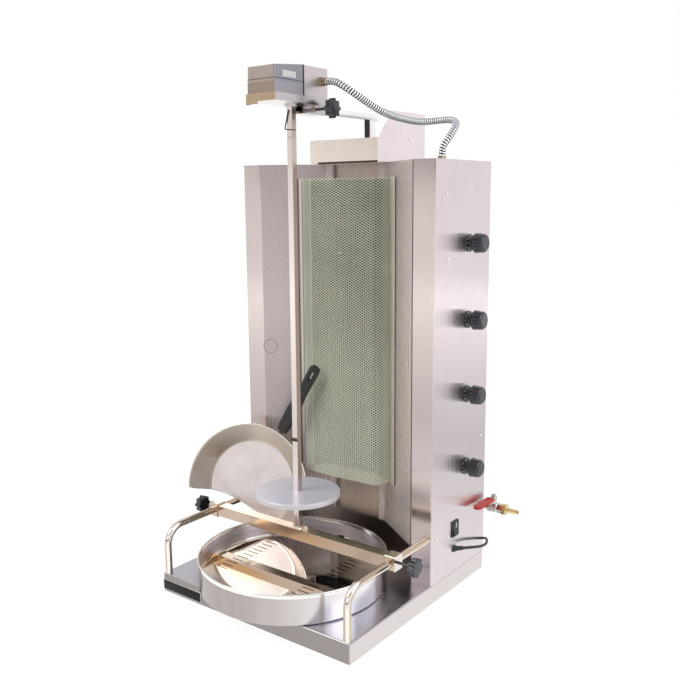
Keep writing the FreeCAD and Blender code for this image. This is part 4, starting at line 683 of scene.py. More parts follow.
class GRILL_OT_stage(Build):
    """Camera, floor, sky and lamps."""

    bl_idname = "grill.stage"
    bl_label = "Stage"

    def build(self, scene):
        studio = scene.grill_studio
        scene.view_settings.view_transform = "Standard"
        self.camera(scene, studio.lens, (1.131, -1.433, 0.874), 37.234, 9.6836, -0.4545)
        self.floor(scene)
        self.sky(scene, studio.sky)
        self.lamp(scene, "key", (-1.5, -2.2, 2.7), 1.9, studio.key, (1.0, 0.97, 0.93))
        self.lamp(scene, "fill", (2.6, 0.2, 1.9), 1.8, studio.fill, (0.96, 0.97, 1.0))

    def camera(self, scene, focal, place, *turns):
        """Camera at a place, turned left, tipped down and rolled by degrees."""
        yaw, pitch, roll = (math.radians(turn) for turn in turns)
        ahead = np.array([-math.sin(yaw) * math.cos(pitch), math.cos(yaw) * math.cos(pitch), -math.sin(pitch)])
        right = np.array([math.cos(yaw), math.sin(yaw), 0.0])
        up = np.cross(right, ahead)
        lens = bpy.data.cameras.new("view")
        lens.lens = focal
        lens.sensor_width = 36.0
        shown = bpy.data.objects.new("camera", lens)
        scene.collection.objects.link(shown)
        aim(shown, right * math.cos(roll) + up * math.sin(roll), up * math.cos(roll) - right * math.sin(roll),
            -ahead, place)
        scene.camera = shown

    def floor(self, scene):
        """White floor that keeps the grill's soft shadow. Metal sees it darker near the grill."""
        edge = np.linspace(-6, 6, 13)
        x, y = np.meshgrid(edge, edge, indexing="ij")
        mesh = surface("floor", np.stack([x, y, np.full_like(x, -0.0006)], -1), flip=True)
        shown = bpy.data.objects.new("floor", mesh)
        scene.collection.objects.link(shown)
        shade = blank("white_floor")
        nodes = shade.tree.nodes
        nodes.remove(nodes["Principled BSDF"])
        away = shade.add("VectorMath", shade.place(), operation="LENGTH").outputs["Value"]
        rays = shade.add("LightPath").outputs
        seen_level = shade.span(away, 0.45, 1.6, 0.90, 1.0)
        metal_level = shade.math("MAXIMUM", shade.span(away, 0.5, 1.3, 0.92, 0.64),
                                 shade.span(away, 1.5, 5.0, 0.64, 1.18))
        level = shade.add("Mix", rays["Is Camera Ray"], None, metal_level, seen_level).outputs[0]
        glow = shade.add("Emission", (1, 1, 1, 1), level)
        matt = shade.add("BsdfDiffuse", (0.17, 0.17, 0.17, 1))
        seen = shade.add("AddShader", glow.outputs[0], matt.outputs[0])
        plain = shade.add("BsdfDiffuse", (0.8, 0.8, 0.8, 1))
        straight = shade.math("MAXIMUM", rays["Is Camera Ray"],
                              shade.math("MAXIMUM", rays["Is Glossy Ray"], rays["Is Transmission Ray"]))
        mixed = shade.add("MixShader", straight, plain.outputs[0], seen.outputs[0])
        shade.put(nodes["Material Output"].inputs["Surface"], mixed.outputs[0])
        MADE["white_floor"].cycles.emission_sampling = "NONE"
        mesh.materials.append(MADE["white_floor"])

    def sky(self, scene, strength):
        """White behind the grill. Metal sees a studio: a dark room low in front, brown timber low behind on the
        left and a brown ceiling in front."""
        world = bpy.data.worlds.new("studio")
        scene.world = world
        world.use_nodes = True
        world.cycles.sampling_method = "NONE"
        shade = Shade(world.node_tree)
        way = shade.add("TexCoord").outputs["Generated"]
        _, depth, rise = shade.parts(way)
        tone = shade.mix(shade.span(rise, 0.1, 0.9, 0.0, 1.0), (1.0, 0.985, 0.99, 1), (0.93, 0.94, 1.0, 1))
        room = shade.product(shade.span(shade.dot(way, (0.5, -0.866, 0.0)), 0.2, 0.6, 0.0, 1.0),
                             shade.span(rise, 0.0, 0.05, 0.0, 1.0), shade.span(rise, 0.13, 0.22, 1.0, 0.0), 0.85)
        timber = shade.product(shade.span(shade.dot(way, (-0.62, 0.78, 0.0)), 0.55, 0.8, 0.0, 1.0),
                               shade.span(rise, 0.0, 0.04, 0.0, 1.0), shade.span(rise, 0.25, 0.45, 1.0, 0.0))
        ceiling = shade.product(shade.span(depth, -0.2, -0.45, 0.0, 0.85), shade.span(rise, 0.46, 0.56, 0.0, 1.0),
                                shade.span(rise, 0.72, 0.86, 1.0, 0.0))
        for share, colour_ in ((room, (0.10, 0.085, 0.075, 1)), (timber, (0.47, 0.34, 0.23, 1)),
                               (ceiling, (0.36, 0.26, 0.17, 1))):
            tone = shade.mix(share, tone, colour_)
        rays = shade.add("LightPath").outputs
        straight = shade.math("MAXIMUM", rays["Is Camera Ray"], rays["Is Transmission Ray"])
        level = shade.math("MAXIMUM", straight, shade.math("MAXIMUM", rays["Is Glossy Ray"], strength))
        background = world.node_tree.nodes["Background"]
        shade.put(background.inputs["Color"], shade.mix(rays["Is Glossy Ray"], (1, 1, 1, 1), tone))
        shade.put(background.inputs["Strength"], level)

    def lamp(self, scene, name, place, size, power, tint):
        """Large soft lamp that looks at the middle of the grill."""
        light = bpy.data.lights.new(name, "AREA")
        light.shape = "DISK"
        light.size = size
        light.energy = power
        light.color = tint
        shown = bpy.data.objects.new(name, light)
        scene.collection.objects.link(shown)
        back = np.subtract(place, (0, 0, 0.5))
        back /= np.linalg.norm(back)
        side = np.cross((0, 0, 1), back)
        side /= np.linalg.norm(side)
        aim(shown, side, np.cross(back, side), back, place)


class GRILL_OT_cord(Build):
    """Mains cable with its put-away coil, tie, bush and plug."""

    bl_idname = "grill.cord"
    bl_label = "Cord"

    def build(self, scene):
        rubber = moulded("cable_rubber", (0.014, 0.014, 0.015), (0.035, 0.035, 0.036), roughness=0.42)
        points = cable_control_points()
        curve = spline("mains_cable", points)
        run = float(np.linalg.norm(np.diff(line_places(curve), axis=0), axis=1).sum())
        curve.bevel_depth = scene.grill_cord.diameter / 2
        curve.bevel_resolution = 4
        curve.use_fill_caps = True
        cord = bpy.data.objects.new("mains_cable", curve)
        scene.collection.objects.link(cord)
        curve.materials.append(rubber)
        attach(cord, "grill")
        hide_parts("power_cable", "cable_coil")
        tie = self.tie()
        dress(moulded("plug_rubber", (0.016, 0.016, 0.017), roughness=0.45), "plug", "cable_bush")

    def tie(self):
        """Strap closed round the coil's bundle: a rounded rectangle round its section."""
        middle, half_width, low, high = 35.6, 14.6, 0.4, 14.6
        c, s = squared(angles(48), 0.25)
        across = np.array([-2.6, -2.2, 2.2, 2.6])[:, None]
        lift = np.array([0.0, 0.5, 0.5, 0.0])[:, None]
        x = COIL["centre"][0] + middle + (half_width + lift) * c
        y = COIL["centre"][1] + np.broadcast_to(across, x.shape)
        height = np.maximum((low + high) / 2 + ((high - low) / 2 + lift) * s, 0.05)
        mesh = surface("coil_tie", np.stack([x, y, height], -1) * MM, wrap_columns=True)
        return piece("coil_tie", mesh, moulded("tie_nylon", (0.05, 0.05, 0.052), roughness=0.5), "grill")


class GRILL_OT_housing(Build):
    """Plinth, columns, reflectors, hood and the trim on them."""

    bl_idname = "grill.housing"
    bl_label = "Housing"

    def build(self, scene):
        dress(housing_steel(), "side_cover_left", "side_cover_right", "top_cover", "back_cover")
        dress(wing_steel(), "reflector_left", "reflector_right")
        dress(plinth_steel(), "base_tray")
        dress(inner_steel(), "base_plate", "burner_wall")
        # Hood: its bright front and dim sides are painted light.
        dress(steel("hood_steel", (0.98, 0.87, 0.79), (0.84, 0.76, 0.78), (0.6, 0.56, 0.55), (0.6, 0.58, 0.6),
                    roughness=0.27, brushed=0.8), "flue_hood")
        dress(moulded("cast_burner", (0.05, 0.047, 0.045), roughness=0.7, bump=(0.4, 0.0006)), "burner_bodies")
        # Burner plaques: their near-black is painted shade and soot behind the guard.
        dress(moulded("ceramic_soot_and_shade", (0.035, 0.031, 0.028), (0.07, 0.06, 0.05), fineness=600, roughness=0.85,
                      bump=(0.5, 0.0008)), "burner_plaques")
        self.burner_gap_shades()
        dress(chrome(), "fasteners")
        self.nameplate()
        self.knock_out()
        self.hood_slit_shade()

    def burner_gap_shades(self):
        """Black rope seals that close the gaps between the burners: painted shade, a dark thing put in gaps that lie in
        shadow.
        """
        (_, front, low), (_, _, high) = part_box("burner_bodies")
        gap = BURNER_GAP * MM
        pitch = (high - low + gap) / BURNERS
        half_width, depth, radius = 0.055, 0.012, 0.0051
        for i in range(1, BURNERS):
            z = low + i * pitch - gap / 2
            line = np.linspace((-half_width, front + depth, z), (half_width, front + depth, z), 9)
            rope = surface("seal", tube(line, radius, 16), wrap_columns=True)
            piece("burner_gap_shade_%d" % i, rope, seam_black_and_shade(), "grill")

    def nameplate(self):
        """Bare black plate with a bright rim on the front of the plinth."""
        lo, hi = np.array([-261.0, -268.3, 4.0]), np.array([-141.0, -267.0, 28.5])
        rim, proud = 1.4, 0.35
        box_piece("nameplate_rim", lo, hi, 0.6, zinc(), "grill")
        enamel = moulded("plate_enamel", (0.006, 0.006, 0.007), (0.012, 0.012, 0.013), roughness=0.4,
                         **{"Specular IOR Level": 0.25})
        box_piece("nameplate", lo + (rim, -proud, rim), hi - (rim, 0, rim), 0.5, enamel, "grill")

    def hood_slit_shade(self):
        """Painted shade: a dark slab in the slit under the front of the flue hood, where the hood's underside lies in
        shadow.
        """
        box_piece("hood_slit_shade", (-70.0, 69.9, 948.5), (93.0, 71.6, 953.0), 0.4, seam_black_and_shade(), "grill")

    def knock_out(self):
        """Pressed ring of a blanked hole on the left reflector: a low round ridge on its slope, dark as painted shade
        along the ring.
        """
        centre, ring, ridge = np.array([-196.0, 37.4, 524.0]), 16.5, 0.55
        along = np.array([126.0, 87.0, 0.0]) / math.hypot(126, 87)
        out = np.array([87.0, -126.0, 0.0]) / math.hypot(126, 87)
        t, a = angles(64)[:, None], angles(10)[None, :, None]
        spoke = (along * np.cos(t) + np.array([0, 0, 1.0]) * np.sin(t))[:, None]
        places = centre + spoke * (ring + ridge * np.cos(a)) + out * ridge * np.sin(a)
        mesh = surface("knock_out", places * MM, wrap_rows=True, wrap_columns=True)
        piece("knock_out_ring", mesh, steel("ring_shadow", (0.2, 0.19, 0.19), roughness=0.5), "grill")


class GRILL_OT_guard(Build):
    """Expanded metal guard with its side strips."""

    bl_idname = "grill.guard"
    bl_label = "Guard"

    low, high = 0.231, 0.917
    foot = np.array([113.0, 92.2])
    mesh_from = -102.0
    lap = 0.06
    lean = math.radians(50)
    inset = 0.0013

    def outline(self, count):
        """Plan of the guard: bowed front, round corners and sides, as even points from left to right."""
        half, front, bow, radius = 112.0, 44.0, 4.0, 22.0
        corner = np.array([half, front + bow])
        inward = np.array([-half, -bow]) / math.hypot(half, bow)
        back = (self.foot - corner) / np.linalg.norm(self.foot - corner)
        turn = math.acos(float(inward @ back))
        reach = radius / math.tan(turn / 2)
        start, end = corner + inward * reach, corner + back * reach
        middle = corner + (inward + back) / np.linalg.norm(inward + back) * (radius / math.sin(turn / 2))
        a = np.linspace(math.atan2(*(start - middle)[::-1]), math.atan2(*(end - middle)[::-1]), 24)
        arc = middle + radius * np.stack([np.cos(a), np.sin(a)], -1)
        right = np.vstack([[0, front], arc, self.foot])
        line = np.vstack([right[::-1] * (-1, 1), right[1:]])
        run = np.concatenate([[0], np.cumsum(np.linalg.norm(np.diff(line, axis=0), axis=1))])
        at = np.linspace(0, run[-1], count)
        return np.stack([np.interp(at, run, line[:, k]) for k in range(2)], -1), run[-1] * MM

    def build(self, scene):
        g = scene.grill_guard
        plan, total = self.outline(2001)
        edge_at = int(np.argmax(plan[:, 0] > self.mesh_from))
        places = self.strands(g, plan, total, edge_at / (len(plan) - 1))
        sides = np.array([[0, 1, 5, 4], [1, 2, 6, 5], [2, 3, 7, 6], [3, 0, 4, 7], [3, 2, 1, 0], [4, 5, 6, 7]])
        faces = np.arange(0, len(places), 8)[:, None, None] + sides
        mesh = bpy.data.meshes.new("guard_strands")
        mesh.from_pydata(places.tolist(), [], faces.reshape(-1, 4).tolist())
        piece("guard_mesh", mesh, self.strand_finish(g.shade), "grill", stands_for=("mesh_guard",))
        self.edge(plan[:edge_at + 1:8])
        self.strips()

    def strands(self, g, plan, total, bare):
        """Eight corners of each strand: a thin box from knot to knot, leaned over and laid along the plan. Strands
        rise and fall in turn, so that four of them close a diamond, and the bare share on the left has none."""
        across = 2 * round(total / g.long_way)
        down = 2 * round((self.high - self.low) / g.short_way)
        i, j = np.meshgrid(np.arange(math.ceil(bare * across), across), np.arange(down), indexing="ij")
        i, j = i.ravel(), j.ravel()
        rising = (i + j) % 2 == 0
        step = np.where(rising, 1, -1)
        first = np.where(rising, j, j + 1)
        wide, tall = total / across, (self.high - self.low) / down
        reach = np.array([-self.lap, 1 + self.lap])
        u = (i[:, None] + reach) * wide
        v = (first[:, None] + step[:, None] * reach) * tall
        slope = np.arctan2(step * tall, wide)[:, None, None]
        edge = g.strand / 2 * np.array([-1, 1, 1, -1])
        depth = g.thickness / 2 * np.array([-1, -1, 1, 1])
        u = u[:, :, None] - np.sin(slope) * edge * math.cos(self.lean)
        v = v[:, :, None] + np.cos(slope) * edge * math.cos(self.lean)
        out = depth - edge * math.sin(self.lean) - self.inset
        share = np.clip(u / total, 0, 1) * (len(plan) - 1)
        tangent = unit(np.gradient(plan, axis=0))
        x, y, tx, ty = (np.interp(share, np.arange(len(plan)), c) for c in (*plan.T, *tangent.T))
        height = np.clip(self.low + v, self.low, self.high)
        return np.stack([x * MM + ty * out, y * MM - tx * out, height], -1).reshape(-1, 3)

    def edge(self, line):
        """Plain folded edge of the guard on the left: its plan carried upwards as a thin sheet."""
        along = unit(np.gradient(line, axis=0))
        out = np.stack([along[:, 1], -along[:, 0]], -1)
        loop = np.vstack([line + out * 1.2, (line + out * 0.2)[::-1]]) * MM
        bevel = 0.0005
        places = raised(loop, [self.low, self.low + bevel, self.high - bevel, self.high])
        places[[0, -1]] = places[[0, -1]].mean(1, keepdims=True)
        mesh = surface("guard_edge", places, wrap_columns=True, flip=True)
        # Face colours of the edge are painted light.
        skin = steel("edge_steel", (0.88, 0.78, 0.80), (0.7, 0.64, 0.66), (0.62, 0.58, 0.6), roughness=0.35,
                     metallic=0.5)
        piece("guard_edge_left", mesh, skin, "grill")

    def strand_finish(self, tint):
        """Pale green where the fire has tinted the strands outside, with painted light by the way each strand faces,
        and painted shade with soot on the inside of the left flank.
        """
        name = "guard_strands"
        shade = blank(name)
        facing = placed(shade, "Painted facing light", Front=rgba(tint), Right=(0.97, 1.0, 0.86, 1),
                        Left=(0.62, 0.68, 0.54, 1), Top=(0.95, 0.97, 0.84, 1))
        grain = placed(shade, "Sheet grain", Color=facing["Color"], Stretch=(60, 60, 60), Depth=0.1, Cloud=0.4,
                       Roughness=0.35)
        turned_in = shade.parts(shade.add("NewGeometry").outputs["Normal"])[0]
        # Painted shade with soot: strands of the left flank that face inward turn near-black.
        inside = shade.product(shade.math("LESS_THAN", shade.parts(shade.place())[0], -0.1055),
                               shade.math("GREATER_THAN", turned_in, -0.1))
        tone = shade.mix(inside, grain["Color"], (0.05, 0.05, 0.045, 1))
        return finish_with(name, tone, grain["Roughness"], None, None, 0.3)

    def strips(self):
        """Folded strips that hold the mesh on the reflectors: a thin slanted band each side, and its dark seam."""
        along, out = np.array([0.823, -0.568]), np.array([-0.568, -0.823])
        line = self.foot + along * np.array([-2.0, 0.0, 8.0, 16.0, 24.5, 25.0])[:, None] + out * 0.5
        seam_at = self.foot + along * 28.0 + out * 0.4
        # Face colours of the strips are painted light.
        band = steel("strip_steel", (0.95, 0.85, 0.76), (0.74, 0.68, 0.70), (0.97, 0.88, 0.80), roughness=0.45,
                     metallic=0.3)
        for side, name in ((1, "right"), (-1, "left")):
            loop = np.vstack([line, (line - out * 1.6)[::-1]]) * (side, 1)
            places = capped(raised(loop, (230.0, 231.0, 560.0, 917.0, 918.0))) * MM
            mesh = surface("strip", places, wrap_columns=True, flip=side > 0)
            piece("guard_strip_" + name, mesh, band, "grill")
            x, y = seam_at * (side, 1) * MM
            seam = surface("seam", tube(np.linspace((x, y, self.low), (x, y, self.high), 5), 0.0009, 12),
                           wrap_columns=True)
            piece("guard_gap_" + name, seam, seam_black_and_shade(), "grill")


class GRILL_OT_drive(Build):
    """Motor unit, arm and conduit."""

    bl_idname = "grill.drive"
    bl_label = "Drive"

    def build(self, scene):
        # Face colours of the motor unit's steels are painted light.
        dress(steel("cover_steel", (0.33, 0.28, 0.255), (0.30, 0.295, 0.335), (0.3, 0.28, 0.28), (0.42, 0.42, 0.45),
                    stretch=(30, 30, 260), depth=0.12, cloud=0.1, roughness=0.36), "motor_cover")
        dress(steel("gear_steel", (0.27, 0.22, 0.18), (0.36, 0.34, 0.37), (0.3, 0.28, 0.28), (0.42, 0.42, 0.45),
                    stretch=(30, 30, 260), depth=0.12, cloud=0.1, roughness=0.36), "gearbox_case")
        dress(steel("box_steel", (0.45, 0.4, 0.38), (0.62, 0.56, 0.575), (0.5, 0.46, 0.46), (0.6, 0.57, 0.57),
                    roughness=0.32), "terminal_box")
        # Tray: the darker right side is painted shade.
        dress(steel("tray_steel", (0.49, 0.37, 0.25), (0.56, 0.51, 0.53), (0.5, 0.45, 0.43), (0.80, 0.78, 0.78),
                    stretch=(8, 200, 200), roughness=0.22), "motor_tray")
        # Arm: the near-white right side and top are painted light, the dark front painted shade.
        dress(steel("arm_steel", (0.30, 0.28, 0.27), (0.97, 0.96, 0.96), (0.8, 0.8, 0.8), (0.97, 0.97, 0.97),
                    stretch=(200, 8, 200), roughness=0.2, brushed=0.5), "arm_tube")
        # Post: the near-black front is painted shade, the white right side painted light.
        dress(steel("post_steel", (0.045, 0.043, 0.042), (0.97, 0.96, 0.96), (0.8, 0.8, 0.8), (0.9, 0.9, 0.9),
                    roughness=0.25), "arm_post")
        dress(moulded("winding", (0.05, 0.03, 0.02), roughness=0.5), "motor_stator")
        dress(steel("turned_steel", (0.6, 0.6, 0.6), stretch=(40, 40, 600), roughness=0.25), "motor_rotor",
              "drive_gear")
        dress(steel("gland_nickel", (0.36, 0.29, 0.19), (0.46, 0.40, 0.30), (0.4, 0.33, 0.22), (0.6, 0.55, 0.45),
                    stretch=(60, 60, 60), depth=0.3, cloud=0.3, roughness=0.25), "gland_motor", "gland_housing")
        dress(black_plastic(), "arm_knob")
        self.label()
        self.cover_gaps()
        self.conduit(scene)

    def label(self):
        """Bare white label on the side of the motor cover."""
        paper = moulded("label_white", (0.80, 0.80, 0.79), (0.72, 0.72, 0.71), roughness=0.5)
        box_piece("motor_label", (34.8, -168.0, 1106.0), (35.6, -128.0, 1118.2), 0.3, paper, "motor_unit")

    def cover_gaps(self):
        """Dark joint round the motor cover, and painted shade in the slit before the terminal box."""
        (x0, y0, z0), (x1, y1, z1) = (np.divide(corner, MM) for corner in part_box("motor_cover"))
        proud, joint, wide, drop = 0.25, (1101.5, 1102.8), 3.6, 30.0
        for name, lo, hi in (
                ("cover_joint", (x0 - proud, y0 - proud, joint[0]), (x1 + proud, y1, joint[1])),
                ("box_slit_shade", (x0 + 1.0, y1 - wide, z0 - drop), (x1 + proud, y1 + 0.1, z1 - 0.5))):
            box_piece(name, lo, hi, 0.2, seam_black_and_shade(), "motor_unit")

    def conduit(self, scene):
        """Ribbed conduit: the radius rises and falls with the way along it and with the way round."""
        steps, rib = 28, 0.0014
        route = np.vstack([CONDUIT_START, CONDUIT_START + (GLAND_REACH, 0, 0), CONDUIT_ROUTE,
                           CONDUIT_END + (0, 0, GLAND_REACH), CONDUIT_END]) * MM
        path, at = even(line_places(spline("conduit_route", route)), 0.00045)
        phase = at[:, None] / scene.grill_cord.turn + angles(steps)[None, :] / (2 * math.pi)
        crest = np.abs(np.sin(math.pi * phase))
        radius = scene.grill_cord.conduit / 2 - rib + rib * crest ** 0.7
        mesh = surface("conduit", tube(path, radius, steps), wrap_columns=True)
        height = np.pad(crest, ((1, 1), (0, 0)), constant_values=1.0).ravel().astype(np.float32)
        mesh.attributes.new("crest", "FLOAT", "POINT").data.foreach_set("value", height)
        shown = piece("ribbed_conduit", mesh, self.galvanised(), None, stands_for=("conduit",))
        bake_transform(shown)

    def galvanised(self):
        """Bright crests and dark grooves, told apart by the mesh's own crest value; the grooves' near-black is painted
        shade.
        """
        name = "galvanised"
        shade = blank(name)
        crest = shade.add("Attribute", attribute_name="crest").outputs["Fac"]
        share = shade.span(crest, 0.5, 0.85, 0.0, 1.0)
        grain = placed(shade, "Sheet grain", Color=(0.93, 0.95, 0.97, 1), Stretch=(90, 90, 90), Depth=0.1,
                       Cloud=0.2, Roughness=0.24)
        tone = shade.mix(share, (0.05, 0.06, 0.065, 1), grain["Color"])
        return finish_with(name, tone, grain["Roughness"], None, None, 1.0)


class GRILL_OT_spit(Build):
    """Spit, disc, crossbar, rails and star knobs."""

    bl_idname = "grill.spit"
    bl_label = "Spit"

    def build(self, scene):
        # Face colours of the spit and crossbar are painted light.
        dress(steel("spit_steel", (0.86, 0.76, 0.72), (0.60, 0.52, 0.46), (0.7, 0.62, 0.58), (0.8, 0.76, 0.74),
                    stretch=(300, 300, 10), roughness=0.2, brushed=0.5), "spit_bar")
        dress(steel("crossbar_steel", (0.60, 0.48, 0.38), (0.8, 0.72, 0.66), (0.6, 0.54, 0.5), (0.97, 0.88, 0.74),
                    stretch=(10, 300, 300), roughness=0.17, brushed=0.5), "crossbar")
        dress(chrome(), "spit_bearing")
        dress(steel("clip_wire", (0.07, 0.055, 0.045), roughness=0.35, bump=None), "spit_clip")
        dress(black_plastic(), "rail_knob_left", "rail_knob_right")
        self.disc()
        self.rails()

    def disc(self):
        """Meat disc: a flat top that rolls over into its rim, turned about the spit, over a square hub."""
        bore, outer, top, low, sheet, bend = 7.3, 93.4, 244.0, 233.0, 2.0, 3.2
        a = np.linspace(math.pi / 2, 0, 7)
        turn = np.stack([np.cos(a), np.sin(a)], -1)
        middle = (outer - bend, top - bend)
        flat = outer - bend - 0.6
        profile = np.vstack([[bore, top], [20, top], [60, top], [flat, top], middle + bend * turn,
                             [outer, low + 0.5], [outer - 0.5, low], [outer - sheet + 0.5, low],
                             [outer - sheet, low + 0.5], middle + (bend - sheet) * turn[::-1],
                             [flat, top - sheet], [20, top - sheet], [bore, top - sheet]])
        mesh = surface("disc", turned(profile * MM, (0, -0.102)), wrap_rows=True, wrap_columns=True, flip=True)
        # The disc's face colours are painted light.
        skin = steel("disc_steel", (0.70, 0.68, 0.70), (0.80, 0.79, 0.82), (0.66, 0.64, 0.66), (0.82, 0.81, 0.93),
                     stretch=(400, 400, 400), depth=0.03, cloud=0.04, roughness=0.32, bump=None, metallic=0.3)
        half, hub_low = 10.3, 214.0
        hub = surface("hub", rounded_box(np.array([-half, -102 - half, hub_low]) * MM,
                                         np.array([half, -102 + half, top - sheet + 0.3]) * MM, 0.0006),
                      wrap_columns=True)
        piece("disc_plate", joined([mesh, hub], "disc"), skin, "disc", stands_for=("meat_disc",))

    def rails(self):
        """Bent tubes: straight up, a quarter arc back, and straight to the housing."""
        x, foot_y, foot_z, top, bow, end_y = 251.0, -259.0, 42.0, 146.0, 40.0, 29.0
        a = np.linspace(0, math.pi / 2, 28)
        arc_y = foot_y + bow - bow * np.cos(a)
        arc_z = top - bow + bow * np.sin(a)
        y = np.concatenate([[foot_y] * 8, arc_y[1:-1], np.linspace(foot_y + bow, end_y, 24)])
        z = np.concatenate([np.linspace(foot_z, top - bow, 8), arc_z[1:-1], [top] * 24])
        for side, name in ((1, "right"), (-1, "left")):
            path = np.stack([np.full_like(y, side * x), y, z], -1) * MM
            mesh = surface("rail", tube(path, 0.008, 40), wrap_columns=True)
            piece("rail_tube_" + name, mesh, rail_chrome(), "grill", stands_for=("rail_" + name,))


class GRILL_OT_pan(Build):
    """Drip pan and its drain plate."""

    bl_idname = "grill.pan"
    bl_label = "Pan"

    def mirror_finish(self):
        """Polished plate with a painted reflection of the crossbar, gold on its left half."""
        name = "mirror_plate"
        shade = blank(name)
        sides = dict.fromkeys(("Front", "Right", "Left"), (0.72, 0.70, 0.70, 1))
        facing = placed(shade, "Painted facing light", Top=(0.86, 0.81, 0.77, 1), **sides)
        x, y, _ = shade.parts(shade.place())
        # Painted reflection of the crossbar: a gold stripe along the line under it, on the left half.
        behind = shade.math("ADD", shade.math("ADD", y, 0.203), shade.product(x, 0.056))
        crossbar_reflection = shade.product(shade.span(behind, 0.002, -0.004, 0.0, 1.0), shade.span(behind, -0.07, -0.02, 0.0, 1.0),
                              shade.span(x, 0.05, -0.04, 0.0, 1.0))
        tone = shade.mix(crossbar_reflection, facing["Color"], (0.88, 0.64, 0.39, 1))
        return finish_with(name, tone, 0.03, None, None, 1.0)

    def build(self, scene):
        centre, steps = (0, -0.121), 220
        floor, rim_top, rim, foot, sheet, bead, corner = 42.1, 108.5, 208.0, 206.0, 1.2, 1.9, 4.0
        a = np.linspace(-math.pi / 2, 0, 6)
        turn = np.stack([np.cos(a), np.sin(a)], -1)
        middle = (foot - corner, floor + corner)
        outer_corner = middle + corner * turn
        b = np.linspace(-0.6 * math.pi, 1.15 * math.pi, 14)
        roll = np.stack([rim - bead + bead * np.cos(b), rim_top - bead + bead * np.sin(b)], -1)
        wall = np.linspace(0.08, 0.92, 6)
        outer_wall = np.stack([foot + (rim - bead - foot) * wall, floor + (rim_top - bead * 2 - floor) * wall], -1)
        profile = np.vstack([[0.5, floor], [60, floor], [150, floor], outer_corner, outer_wall, roll,
                             outer_wall[::-1] - (sheet, 0), middle + (corner - sheet) * turn[::-1],
                             [150, floor + sheet], [60, floor + sheet], [0.5, floor + sheet]])
        mesh = surface("pan", turned(profile * MM, centre, steps), wrap_rows=True, wrap_columns=True)
        after_wall = 3 + len(outer_corner) + len(outer_wall)
        after_roll = after_wall + len(roll)
        paint_columns(mesh, len(profile), [(after_wall - 1, after_roll, 1), (after_roll, len(profile), 2)])
        ledge = np.array([[205.6, 83], [201.0, 82.5], [201.0, 81.0], [205.4, 76.5]])
        shelf = surface("ledge", turned(ledge * MM, centre, steps), wrap_rows=True, wrap_columns=True)
        # Face colours of the pan and its inside are painted light.
        skin = steel("pan_steel", (0.44, 0.39, 0.375), (0.93, 0.90, 0.91), (0.34, 0.31, 0.295), (0.66, 0.65, 0.68),
                     stretch=(34, 34, 3), depth=0.3, cloud=0.15, roughness=0.2, bump=None, brushed=0.7, turned_by=0.25)
        # The rolled rim's near-white is a painted highlight.
        rim_highlight = steel("pan_rim_highlight", (0.95, 0.95, 0.92), stretch=(40, 40, 40), roughness=0.12, bump=None)
        inner = steel("pan_inner", (0.62, 0.58, 0.62), (0.60, 0.56, 0.60), (0.64, 0.62, 0.68), (0.6, 0.57, 0.6),
                      stretch=(30, 30, 3), depth=0.1, cloud=0.1, roughness=0.32, bump=None, metallic=0.6, brushed=0.5,
                      turned_by=0.25)
        shell = piece("pan_shell", mesh, skin, "pan", stands_for=("drip_pan",))
        shell.data.materials.append(rim_highlight)
        shell.data.materials.append(inner)
        piece("pan_ledge", shelf, inner, "pan")
        dress(self.mirror_finish(), "drain_plate")


